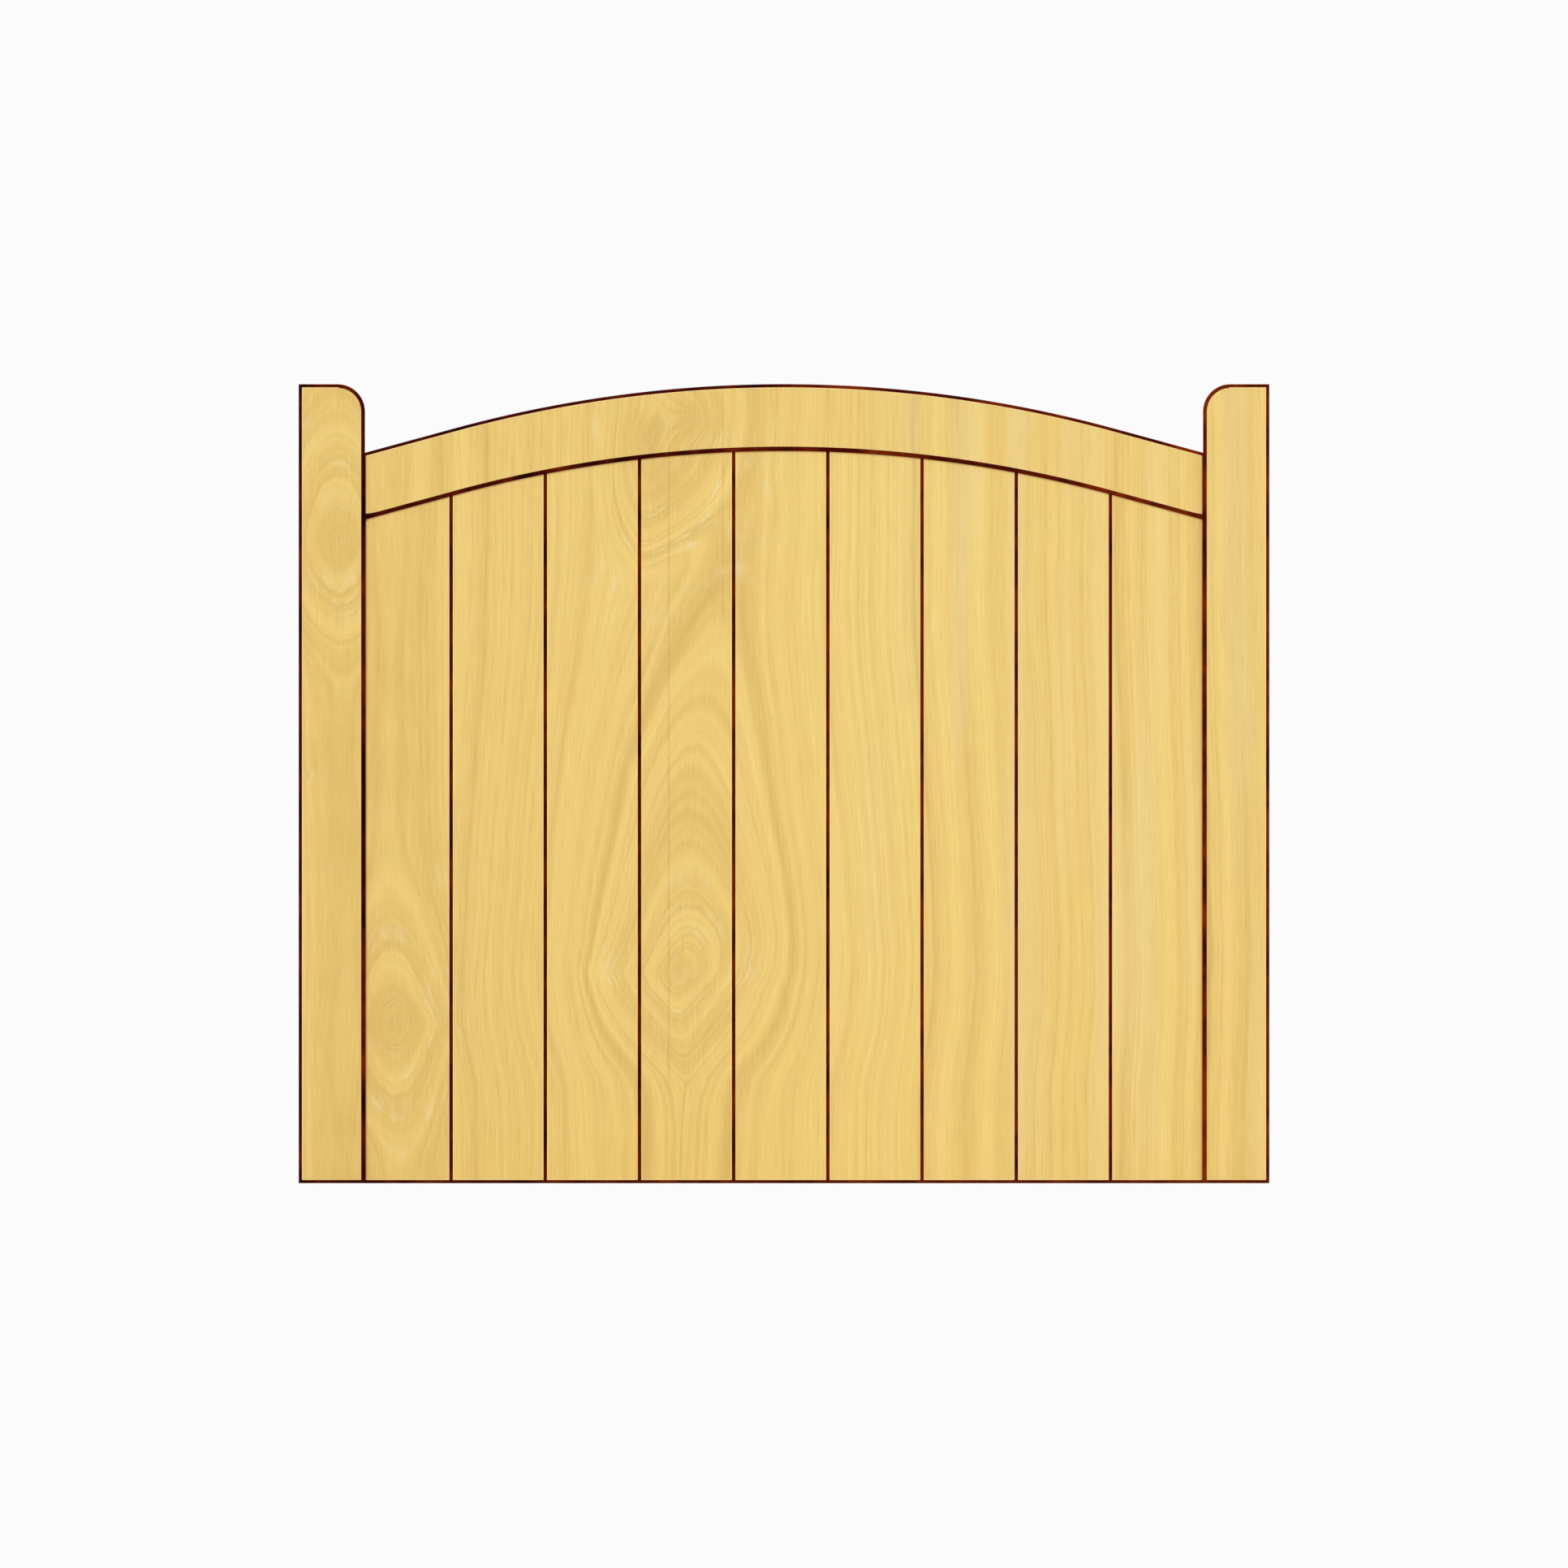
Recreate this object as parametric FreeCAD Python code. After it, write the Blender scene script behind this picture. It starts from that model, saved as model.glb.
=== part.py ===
import FreeCAD, Part
import math
import os

# A bow-top boarded garden gate: two stiles and an arched top rail framing tongued and grooved
# boards, with two ledges and two in-line braces behind them, a pair of hinges and a sliding bolt.
# Millimetres. X runs from the hinge side to the latch side, Y from the front to the back, Z up.
# The origin is at the bottom of the gate, midway along it, in the plane of the frame's back face.

V = FreeCAD.Vector

# Overall size of the leaf
GATE_WIDTH = 1200.0
GATE_HEIGHT = 988.0

# Frame
STILE_WIDTH = 82.0
STILE_THICKNESS = 45.0
STILE_TOP_RADIUS = 34.0
TOP_RAIL_DEPTH = 82.0
TOP_RAIL_SETBACK = 2.0
BOW_RADIUS = 1545.0
BOW_HALF_CHORD = 406.0
FRONT_ARRIS = 4.0
BACK_ARRIS = 2.0

# Boards
BOARD_COUNT = 9
BOARD_THICKNESS = 16.0
BOARD_SETBACK = 8.0
HOUSING_DEPTH = 10.0
HOUSING_SLACK = 2.0
HOUSING_CLEARANCE = 0.2
TONGUE_LENGTH = 8.0
TONGUE_THICKNESS = 5.0
TONGUE_CLEARANCE = 0.2
TONGUE_SLACK = 1.0
BOARD_GAP = 0.3
FRONT_VEE = 2.0
BACK_VEE = 1.5

# Ledges and braces behind the boards
BOTTOM_RAIL_RISE = 40.0
BOTTOM_RAIL_DEPTH = 120.0
MIDDLE_RAIL_DEPTH = 120.0
BRACE_WIDTH = 90.0

# Through tenons and their wedges
TOP_TENON_THICKNESS = 14.0
TOP_TENON_ABOVE_GROOVE = 8.0
TOP_TENON_SHOULDER = 12.0
LEDGE_TENON_THICKNESS = 12.0
LEDGE_TENON_SHOULDER = 15.0
TENON_CLEARANCE = 0.1
WEDGE_LENGTH = 45.0
WEDGE_THICKNESS = 4.0

# Countersunk screws, with a cross slot in each head
BOARD_SCREW_HEAD_RADIUS = 4.2
BOARD_SCREW_SHANK_RADIUS = 2.1
BOARD_SCREW_BITE = 9.0
BOARD_SCREW_STAGGER = 26.0
BOARD_SCREW_EDGE = 28.0
HINGE_SCREW_HEAD_RADIUS = 4.6
HINGE_SCREW_SHANK_RADIUS = 2.4
HINGE_SCREW_LENGTH = 32.0
PLATE_SCREW_HEAD_RADIUS = 3.6
PLATE_SCREW_SHANK_RADIUS = 1.8
PLATE_SCREW_LENGTH = 16.0
PLATE_SCREW_EDGE = 7.0
SCREW_TIP = 5.0
SCREW_CLEARANCE = 0.05
DRIVE_DEPTH = 1.6
DRIVE_WIDTH = 1.0
DRIVE_MARGIN = 1.5

# Hinges
HINGE_HEIGHT = 100.0
HINGE_LEAF_WIDTH = 37.0
HINGE_LEAF_THICKNESS = 3.0
HINGE_LEAF_CORNER = 4.0
HINGE_KNUCKLE_RADIUS = 7.0
HINGE_KNUCKLE_COUNT = 5
HINGE_KNUCKLE_GAP = 0.4
HINGE_PIN_RADIUS = 4.0
HINGE_RUNNING_CLEARANCE = 0.05
HINGE_TURNING_CLEARANCE = 0.5
HINGE_PIN_HEAD_OVERHANG = 1.5
HINGE_PIN_HEAD_HEIGHT = 2.5
HINGE_PIN_HEAD_ROUND = 1.2
HINGE_FAR_HOLE_EDGE = 8.0
HINGE_FAR_HOLE_END = 12.0
HINGE_NEAR_HOLE_EDGE = 20.0
HINGE_NEAR_HOLE_SPAN = 26.0
LOWER_HINGE_CENTRE = 225.0
UPPER_HINGE_BELOW_RAIL = 57.0

# Sliding bolt
BOLT_ROD_RADIUS = 6.0
BOLT_NOSE_RADIUS = 5.5
BOLT_NOSE_CHAMFER = 1.5
BOLT_SHOULDER = 1.0
BOLT_THROW = 40.0
BOLT_PLATE_THICKNESS = 3.0
BOLT_PLATE_HEIGHT = 40.0
BOLT_PLATE_CORNER = 5.0
BOLT_PLATE_MARGIN = 20.0
BOLT_CLEARANCE = 0.4
GUIDE_WALL = 3.0
GUIDE_WIDTH = 14.0
GUIDE_INSET = 20.0
GUIDE_SPAN = 68.0
KNOB_STEM_RADIUS = 4.0
KNOB_RADIUS = 8.0
KNOB_GUIDE_CLEARANCE = 1.6
KNOB_SPIGOT_RADIUS = 2.5
KNOB_SPIGOT_DEPTH = 5.0
KNOB_STOP_GAP = 1.0

# Planes of the frame and the boards
EDGE = GATE_WIDTH / 2
OPENING = EDGE - STILE_WIDTH
FRONT = -STILE_THICKNESS
BACK = 0.0
RAIL_FRONT = FRONT + TOP_RAIL_SETBACK
BOARD_FRONT = FRONT + BOARD_SETBACK
BOARD_BACK = BOARD_FRONT + BOARD_THICKNESS
BOARD_MIDDLE = (BOARD_FRONT + BOARD_BACK) / 2
BOARD_COVER = (2 * OPENING + 2 * HOUSING_DEPTH - TONGUE_LENGTH) / BOARD_COUNT
LEFT_BOARD_EDGE = -OPENING - HOUSING_DEPTH
GROOVE_DEPTH = HOUSING_DEPTH + HOUSING_SLACK
SIDES = (-1, 1)


def bow_height(x):
    """Height of the top rail's upper edge at x: a circular bow, carried on along its tangents."""
    reach = min(abs(x), BOW_HALF_CHORD)
    height = GATE_HEIGHT - BOW_RADIUS + math.sqrt(BOW_RADIUS ** 2 - reach ** 2)
    slope = BOW_HALF_CHORD / math.sqrt(BOW_RADIUS ** 2 - BOW_HALF_CHORD ** 2)
    return height - (abs(x) - reach) * slope


# Heights of the rails
SHOULDER = bow_height(OPENING) - TOP_RAIL_DEPTH
BOTTOM_Z0 = BOTTOM_RAIL_RISE
BOTTOM_Z1 = BOTTOM_RAIL_RISE + BOTTOM_RAIL_DEPTH
MIDDLE_Z = (BOTTOM_Z1 + SHOULDER) / 2
MIDDLE_Z0 = MIDDLE_Z - MIDDLE_RAIL_DEPTH / 2
MIDDLE_Z1 = MIDDLE_Z + MIDDLE_RAIL_DEPTH / 2


# Helpers

def box(x0, x1, y0, y1, z0, z1):
    return Part.makeBox(x1 - x0, y1 - y0, z1 - z0, V(x0, y0, z0))


def prism(points, along):
    """A polygon of points carried straight along a vector."""
    return Part.Face(Part.makePolygon(points + points[:1])).extrude(along)


def one_solid(shape):
    return shape.removeSplitter().Solids[0]


def near(a, b):
    return abs(a - b) < 1e-4


def edges_at(shape, test):
    return [edge for edge in shape.Edges if test(edge.CenterOfMass)]


def placed(shape, spots):
    """A copy of the shape moved to each spot."""
    copies = []
    for spot in spots:
        copy = shape.copy()
        copy.translate(spot)
        copies.append(copy)
    return copies


def bow_edges(drop, reach):
    """The rail's upper edge, lowered by drop, from -reach to +reach: tangent, arc, tangent."""
    def at(x):
        return V(x, 0, bow_height(x) - drop)
    arc = min(BOW_HALF_CHORD, reach)
    edges = [Part.Arc(at(-arc), at(0), at(arc)).toShape()]
    if reach > arc:
        edges.insert(0, Part.makeLine(at(-reach), at(-arc)))
        edges.append(Part.makeLine(at(arc), at(reach)))
    return edges


def level_edge(z, reach):
    return [Part.makeLine(V(-reach, 0, z), V(reach, 0, z))]


def bowed_solid(drop, underside, y0, y1):
    """A solid from y0 to y1 whose top is the lowered bow over a bowed or level underside."""
    low_left = underside[0].Vertexes[0].Point
    low_right = underside[-1].Vertexes[-1].Point
    top = bow_edges(drop, low_right.x)
    sides = [Part.makeLine(low_left, top[0].Vertexes[0].Point),
             Part.makeLine(low_right, top[-1].Vertexes[-1].Point)]
    wire = Part.Wire(Part.__sortEdges__(top + underside + sides))
    solid = Part.Face(wire).extrude(V(0, y1 - y0, 0))
    solid.translate(V(0, y0, 0))
    return solid


# Screws

class Screw:
    """A turned countersunk screw along -Y whose head's face lies at y = 0."""

    def __init__(self, head, shank, length):
        self.head, self.shank, self.length = head, shank, length

    def turned(self, grow):
        """The screw's form, grown all round by grow."""
        head, shank = self.head + grow, self.shank + grow
        points = [V(0, 0, 0), V(head, 0, 0), V(shank, shank - head, 0),
                  V(shank, SCREW_TIP - self.length, 0), V(0, -self.length - grow, 0)]
        face = Part.Face(Part.makePolygon(points + points[:1]))
        return Part.Solid(face.revolve(V(0, 0, 0), V(0, 1, 0), 360))

    def solid(self):
        span, half = self.head - DRIVE_MARGIN, DRIVE_WIDTH / 2
        slots = [box(-span, span, -DRIVE_DEPTH, 1, -half, half),
                 box(-half, half, -DRIVE_DEPTH, 1, -span, span)]
        return one_solid(self.turned(0).cut(slots))

    def drill(self, solid, spots):
        """The solid with a hole for each of these screws that reaches it."""
        holes = placed(self.turned(SCREW_CLEARANCE), spots)
        holes = [hole for hole in holes if hole.BoundBox.intersect(solid.BoundBox)]
        return solid.cut(holes).Solids[0] if holes else solid


board_screw = Screw(BOARD_SCREW_HEAD_RADIUS, BOARD_SCREW_SHANK_RADIUS, BACK - BOARD_BACK + BOARD_SCREW_BITE)
hinge_screw = Screw(HINGE_SCREW_HEAD_RADIUS, HINGE_SCREW_SHANK_RADIUS, HINGE_SCREW_LENGTH)
plate_screw = Screw(PLATE_SCREW_HEAD_RADIUS, PLATE_SCREW_SHANK_RADIUS, PLATE_SCREW_LENGTH)


# Tenons, mortises and wedges

class Tenon:
    """The through tenons at both ends of a rail, centred on the plane y, from z0 to z1."""

    def __init__(self, y, thickness, z0, z1):
        self.y0, self.y1, self.z0, self.z1 = y - thickness / 2, y + thickness / 2, z0, z1

    def solids(self):
        return [box(*sorted((side * OPENING, side * EDGE)), self.y0, self.y1, self.z0, self.z1)
                for side in SIDES]

    def mortise(self, side):
        """The tenon's hole through a stile, flaring towards the outer edge for the wedges."""
        inner, flare, outer = side * OPENING, side * (EDGE - WEDGE_LENGTH), side * EDGE
        y0, y1 = self.y0 - TENON_CLEARANCE, self.y1 + TENON_CLEARANCE
        outline = [(inner, self.z0), (flare, self.z0), (outer, self.z0 - WEDGE_THICKNESS),
                   (outer, self.z1 + WEDGE_THICKNESS), (flare, self.z1), (inner, self.z1)]
        return prism([V(x, y0, z) for x, z in outline], V(0, y1 - y0, 0))

    def wedges(self):
        pieces = []
        for side in SIDES:
            flare, outer = side * (EDGE - WEDGE_LENGTH), side * EDGE
            for z, out in ((self.z0, -WEDGE_THICKNESS), (self.z1, WEDGE_THICKNESS)):
                points = [V(flare, self.y0, z), V(outer, self.y0, z), V(outer, self.y0, z + out)]
                pieces.append(prism(points, V(0, self.y1 - self.y0, 0)))
        return pieces


def ledge_tenon(z0, z1):
    return Tenon((BOARD_BACK + BACK) / 2, LEDGE_TENON_THICKNESS,
                 z0 + LEDGE_TENON_SHOULDER, z1 - LEDGE_TENON_SHOULDER)


top_tenon = Tenon((RAIL_FRONT + BACK) / 2, TOP_TENON_THICKNESS,
                  SHOULDER + GROOVE_DEPTH + TOP_TENON_ABOVE_GROOVE,
                  SHOULDER + TOP_RAIL_DEPTH - TOP_TENON_SHOULDER)
middle_tenon = ledge_tenon(MIDDLE_Z0, MIDDLE_Z1)
bottom_tenon = ledge_tenon(BOTTOM_Z0, BOTTOM_Z1)


# Timber pieces

def stile(side):
    """An upright with a rounded inner top corner, chamfered arrises, a board groove and mortises."""
    outer, inner = side * EDGE, side * OPENING
    turn = STILE_TOP_RADIUS
    start = V(inner + side * turn, FRONT, GATE_HEIGHT)
    finish = V(inner, FRONT, GATE_HEIGHT - turn)
    middle = V(start.x, FRONT, finish.z) + V(-side, 0, 1) * (turn / math.sqrt(2))
    corners = [finish, V(inner, FRONT, 0), V(outer, FRONT, 0), V(outer, FRONT, GATE_HEIGHT), start]
    sides = [Part.makeLine(a, b) for a, b in zip(corners, corners[1:])]
    wire = Part.Wire(sides + [Part.Arc(start, middle, finish).toShape()])
    body = Part.Face(wire).extrude(V(0, STILE_THICKNESS, 0))
    body = body.makeChamfer(FRONT_ARRIS, edges_at(body, lambda c: near(c.y, FRONT)))
    body = body.makeChamfer(BACK_ARRIS, edges_at(body, lambda c: near(c.y, BACK)))
    groove = box(*sorted((inner, inner + side * GROOVE_DEPTH)), BOARD_FRONT - HOUSING_CLEARANCE,
                 BOARD_BACK + HOUSING_CLEARANCE, -1, SHOULDER + GROOVE_DEPTH)
    mortises = [tenon.mortise(side) for tenon in (top_tenon, middle_tenon, bottom_tenon)]
    return body.cut([groove] + mortises).Solids[0]


def top_rail():
    """The arched rail, chamfered along its curves, grooved below for the boards, tenoned at its ends."""
    body = bowed_solid(0, bow_edges(TOP_RAIL_DEPTH, OPENING), RAIL_FRONT, BACK)
    for y, size in ((RAIL_FRONT, FRONT_ARRIS), (BACK, BACK_ARRIS)):
        body = body.makeChamfer(size, edges_at(body, lambda c: near(c.y, y) and not near(abs(c.x), OPENING)))
    groove = bowed_solid(TOP_RAIL_DEPTH - GROOVE_DEPTH, level_edge(SHOULDER - 1, OPENING + 1),
                         BOARD_FRONT - HOUSING_CLEARANCE, BOARD_BACK + HOUSING_CLEARANCE)
    return one_solid(body.cut(groove).fuse(top_tenon.solids()))


def ledge(z0, z1, tenon):
    """A level rail behind the boards, with a tenon at each end."""
    body = box(-OPENING, OPENING, BOARD_BACK, BACK, z0, z1)
    body = body.makeChamfer(BACK_ARRIS, edges_at(body, lambda c: near(c.y, BACK) and near(c.x, 0)))
    return one_solid(body.fuse(tenon.solids()))


brace_foot = V(-OPENING, 0, BOTTOM_Z1)
brace_line = V(OPENING, 0, SHOULDER) - brace_foot
brace_slope = brace_line.z / brace_line.x


def brace(bay):
    """The stretch within a bay of one strip from the bottom hinge corner to the top latch corner."""
    half = BRACE_WIDTH / 2
    strip = box(-BRACE_WIDTH, brace_line.Length + BRACE_WIDTH, BOARD_BACK, BACK, -half, half)
    strip = strip.makeChamfer(BACK_ARRIS, edges_at(strip, lambda c: near(c.y, BACK) and near(abs(c.z), half)))
    strip.rotate(V(0, 0, 0), V(0, 1, 0), -math.degrees(math.atan(brace_slope)))
    strip.translate(brace_foot)
    return one_solid(strip.common(bay))


def board(number):
    """A board with a groove on its left edge, a tongue on its right, veed arrises and a bowed top."""
    left = LEFT_BOARD_EDGE + number * BOARD_COVER + BOARD_GAP / 2
    right = left + BOARD_COVER - BOARD_GAP
    tip = right + TONGUE_LENGTH
    root = left + TONGUE_LENGTH - BOARD_GAP + TONGUE_SLACK
    tongue0 = BOARD_MIDDLE - TONGUE_THICKNESS / 2
    tongue1 = BOARD_MIDDLE + TONGUE_THICKNESS / 2
    groove0 = tongue0 - TONGUE_CLEARANCE
    groove1 = tongue1 + TONGUE_CLEARANCE
    front_face = [(left, BOARD_FRONT + FRONT_VEE), (left + FRONT_VEE, BOARD_FRONT),
                  (right - FRONT_VEE, BOARD_FRONT), (right, BOARD_FRONT + FRONT_VEE)]
    tongue = [(right, tongue0), (tip, tongue0), (tip, tongue1), (right, tongue1)]
    back_face = [(right, BOARD_BACK - BACK_VEE), (right - BACK_VEE, BOARD_BACK),
                 (left + BACK_VEE, BOARD_BACK), (left, BOARD_BACK - BACK_VEE)]
    groove = [(left, groove1), (root, groove1), (root, groove0), (left, groove0)]
    outline = [V(x, y, 0) for x, y in front_face + tongue + back_face + groove]
    body = prism(outline, V(0, 0, GATE_HEIGHT))
    arris = prism([V(left - 1, BOARD_FRONT, 0), V(left - 1, BOARD_FRONT + FRONT_ARRIS, 0),
                   V(left - 1, BOARD_FRONT, FRONT_ARRIS)], V(tip - left + 2, 0, 0))
    under_rail = bowed_solid(TOP_RAIL_DEPTH - HOUSING_DEPTH, level_edge(-1, EDGE), FRONT, BACK)
    return body.cut(arris).common(under_rail).Solids[0]


# Screw places on the backs of the ledges and braces

def screw_columns():
    """The two places across each board where it is screwed, with the side that each lies on."""
    for number in range(BOARD_COUNT):
        centre = LEFT_BOARD_EDGE + (number + 0.5) * BOARD_COVER
        for side in SIDES:
            yield centre + side * BOARD_SCREW_STAGGER, side


def ledge_screw_spots(z0, z1):
    """Two screws to each board, one low and one high."""
    middle, rise = (z0 + z1) / 2, (z1 - z0) / 2 - BOARD_SCREW_EDGE
    return [V(x, BACK, middle + side * rise) for x, side in screw_columns()]


def brace_screw_spots(z0, z1):
    """Screws along the brace's centre line, where that line lies well between z0 and z1."""
    margin = 2 * BOARD_SCREW_HEAD_RADIUS
    line = [V(x, BACK, brace_foot.z + (x - brace_foot.x) * brace_slope) for x, side in screw_columns()]
    return [spot for spot in line if z0 + margin < spot.z < z1 - margin]


# Hinges: one leaf lies on the back of the hinge stile, the other stands a quarter turn from it

axis_y = BACK + HINGE_KNUCKLE_RADIUS + HINGE_TURNING_CLEARANCE
axis_x = -EDGE + HINGE_KNUCKLE_RADIUS + HINGE_TURNING_CLEARANCE
hinge_centres = {"lower": LOWER_HINGE_CENTRE, "upper": SHOULDER - UPPER_HINGE_BELOW_RAIL}


def hinge_holes(centre):
    """Screw places on a leaf, as distance from the pin's axis and height: a far pair and a near pair."""
    far = HINGE_LEAF_WIDTH - HINGE_FAR_HOLE_EDGE
    close = HINGE_LEAF_WIDTH - HINGE_NEAR_HOLE_EDGE
    spread = HINGE_HEIGHT / 2 - HINGE_FAR_HOLE_END
    return ([(far, centre + side * spread) for side in SIDES]
            + [(close, centre + side * HINGE_NEAR_HOLE_SPAN / 2) for side in SIDES])


def hinge_leaf(centre, first_knuckle, bore):
    """A leaf about the Z axis as its pin: the plate lies along +X, with its seat towards -Y."""
    low = centre - HINGE_HEIGHT / 2
    pitch = HINGE_HEIGHT / HINGE_KNUCKLE_COUNT
    notch = HINGE_KNUCKLE_RADIUS + HINGE_TURNING_CLEARANCE
    seat, face = -notch, -notch + HINGE_LEAF_THICKNESS
    plate = box(notch, HINGE_LEAF_WIDTH, seat, face, low, low + HINGE_HEIGHT)
    corners = edges_at(plate, lambda c: near(c.x, HINGE_LEAF_WIDTH) and near(c.y, (seat + face) / 2))
    plate = plate.makeFillet(HINGE_LEAF_CORNER, corners)
    knuckles = []
    for k in range(first_knuckle, HINGE_KNUCKLE_COUNT, 2):
        z0 = low + k * pitch + HINGE_KNUCKLE_GAP / 2
        length = pitch - HINGE_KNUCKLE_GAP
        knuckles.append(Part.makeCylinder(HINGE_KNUCKLE_RADIUS, length, V(0, 0, z0)))
        knuckles.append(box(0, notch, seat, face, z0, z0 + length))
    hole = Part.makeCylinder(bore, HINGE_HEIGHT, V(0, 0, low))
    leaf = one_solid(plate.fuse(knuckles).cut(hole))
    return hinge_screw.drill(leaf, [V(out, face, z) for out, z in hinge_holes(centre)])


def gate_leaf(centre):
    """The leaf on the back of the hinge stile, turning freely on the pin."""
    leaf = hinge_leaf(centre, 1, HINGE_PIN_RADIUS + HINGE_RUNNING_CLEARANCE)
    leaf.translate(V(axis_x, axis_y, 0))
    return leaf


def post_leaf(centre):
    """The leaf for the post, a quarter turn from the other, holding the pin tight."""
    leaf = hinge_leaf(centre, 0, HINGE_PIN_RADIUS).mirror(V(0, 0, 0), V(1, -1, 0))
    leaf.translate(V(axis_x, axis_y, 0))
    return leaf


def hinge_pin(centre):
    """A pin with a rounded button at each end, seated on the end knuckles."""
    reach = HINGE_HEIGHT / 2 - HINGE_KNUCKLE_GAP / 2
    radius = HINGE_PIN_RADIUS + HINGE_PIN_HEAD_OVERHANG
    button = Part.makeCylinder(radius, HINGE_PIN_HEAD_HEIGHT, V(0, 0, reach))
    rim = edges_at(button, lambda c: near(c.z, reach + HINGE_PIN_HEAD_HEIGHT))
    upper = button.makeFillet(HINGE_PIN_HEAD_ROUND, rim)
    lower = upper.mirror(V(0, 0, 0), V(0, 0, 1))
    pin = one_solid(Part.makeCylinder(HINGE_PIN_RADIUS, 2 * reach, V(0, 0, -reach)).fuse([upper, lower]))
    pin.translate(V(axis_x, axis_y, centre))
    return pin


hinge_spots = [V(axis_x + out, BACK + HINGE_LEAF_THICKNESS, z)
               for centre in hinge_centres.values() for out, z in hinge_holes(centre)]


# Sliding bolt, on the backs of the middle rail and the latch stile

rod_y = BACK + BOLT_PLATE_THICKNESS + BOLT_CLEARANCE + BOLT_ROD_RADIUS
rod_top = rod_y + BOLT_ROD_RADIUS
rod_z = MIDDLE_Z
outer_guide = EDGE - GUIDE_INSET - GUIDE_WIDTH
inner_guide = outer_guide - GUIDE_SPAN - GUIDE_WIDTH
knob_x = inner_guide - KNOB_STOP_GAP - KNOB_STEM_RADIUS - BOLT_THROW
tail_guide = knob_x - KNOB_STEM_RADIUS - KNOB_STOP_GAP - GUIDE_WIDTH
tail_end = tail_guide + GUIDE_WIDTH / 2 - BOLT_THROW
nose_start = outer_guide + GUIDE_WIDTH + BOLT_SHOULDER
stem_length = GUIDE_WALL + BOLT_CLEARANCE + KNOB_GUIDE_CLEARANCE
plate_x0 = tail_guide - BOLT_PLATE_MARGIN
plate_x1 = outer_guide + GUIDE_WIDTH
plate_columns = (plate_x0 + PLATE_SCREW_EDGE, inner_guide + GUIDE_WIDTH + PLATE_SCREW_EDGE,
                 outer_guide - PLATE_SCREW_EDGE)
plate_rise = BOLT_PLATE_HEIGHT / 2 - PLATE_SCREW_EDGE
plate_spots = [V(x, BACK + BOLT_PLATE_THICKNESS, rod_z + side * plate_rise)
               for side in SIDES for x in plate_columns]


def bolt_plate():
    half = BOLT_PLATE_HEIGHT / 2
    plate = box(plate_x0, plate_x1, BACK, BACK + BOLT_PLATE_THICKNESS, rod_z - half, rod_z + half)
    corners = edges_at(plate, lambda c: near(c.y, BACK + BOLT_PLATE_THICKNESS / 2))
    return plate_screw.drill(plate.makeFillet(BOLT_PLATE_CORNER, corners), plate_spots)


def bolt_guide(x):
    """A staple standing on the plate: straight legs and a round crown over the rod."""
    foot = BACK + BOLT_PLATE_THICKNESS
    bore = BOLT_ROD_RADIUS + BOLT_CLEARANCE

    def arch(r):
        crown = Part.makeCylinder(r, GUIDE_WIDTH, V(x, rod_y, rod_z), V(1, 0, 0))
        legs = box(x, x + GUIDE_WIDTH, foot, rod_y, rod_z - r, rod_z + r)
        above_plate = box(x, x + GUIDE_WIDTH, foot, rod_y + r, rod_z - r, rod_z + r)
        return crown.fuse(legs).common(above_plate)
    return one_solid(arch(bore + GUIDE_WALL).cut(arch(bore)))


def rod_blank():
    """The rod before it is drilled: a round bar with a thinner, chamfered nose flush with the edge."""
    bar = Part.makeCylinder(BOLT_ROD_RADIUS, nose_start - tail_end, V(tail_end, rod_y, rod_z), V(1, 0, 0))
    nose = Part.makeCylinder(BOLT_NOSE_RADIUS, EDGE - nose_start, V(nose_start, rod_y, rod_z), V(1, 0, 0))
    nose = nose.makeChamfer(BOLT_NOSE_CHAMFER, edges_at(nose, lambda c: near(c.x, EDGE)))
    return one_solid(bar.fuse(nose))


def knob_spigot():
    return Part.makeCylinder(KNOB_SPIGOT_RADIUS, KNOB_SPIGOT_DEPTH + stem_length,
                             V(knob_x, rod_top - KNOB_SPIGOT_DEPTH, rod_z), V(0, 1, 0))


def bolt_rod():
    return one_solid(rod_blank().cut(knob_spigot()))


def bolt_knob():
    """A ball on a stem that is hollowed to sit on the rod, with a spigot let into the rod."""
    ball_y = rod_top + stem_length + KNOB_RADIUS
    stem = Part.makeCylinder(KNOB_STEM_RADIUS, ball_y - rod_y, V(knob_x, rod_y, rod_z), V(0, 1, 0))
    ball = Part.makeSphere(KNOB_RADIUS, V(knob_x, ball_y, rod_z))
    return one_solid(stem.cut(rod_blank()).fuse([ball, knob_spigot()]))


# Assembly

bottom_spots = ledge_screw_spots(BOTTOM_Z0, BOTTOM_Z1)
middle_spots = ledge_screw_spots(MIDDLE_Z0, MIDDLE_Z1)
brace_spots = brace_screw_spots(BOTTOM_Z1, MIDDLE_Z0) + brace_screw_spots(MIDDLE_Z1, SHOULDER)
lower_bay = box(-OPENING, OPENING, BOARD_BACK, BACK, BOTTOM_Z1, MIDDLE_Z0)
upper_bay = bowed_solid(TOP_RAIL_DEPTH, level_edge(MIDDLE_Z1, OPENING), BOARD_BACK, BACK)

timber = {
    "hinge_stile": stile(-1),
    "latch_stile": stile(1),
    "top_rail": top_rail(),
    "middle_rail": ledge(MIDDLE_Z0, MIDDLE_Z1, middle_tenon),
    "bottom_rail": ledge(BOTTOM_Z0, BOTTOM_Z1, bottom_tenon),
    "lower_brace": brace(lower_bay),
    "upper_brace": brace(upper_bay),
}
for number in range(BOARD_COUNT):
    timber["board_%d" % (number + 1)] = board(number)

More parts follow.
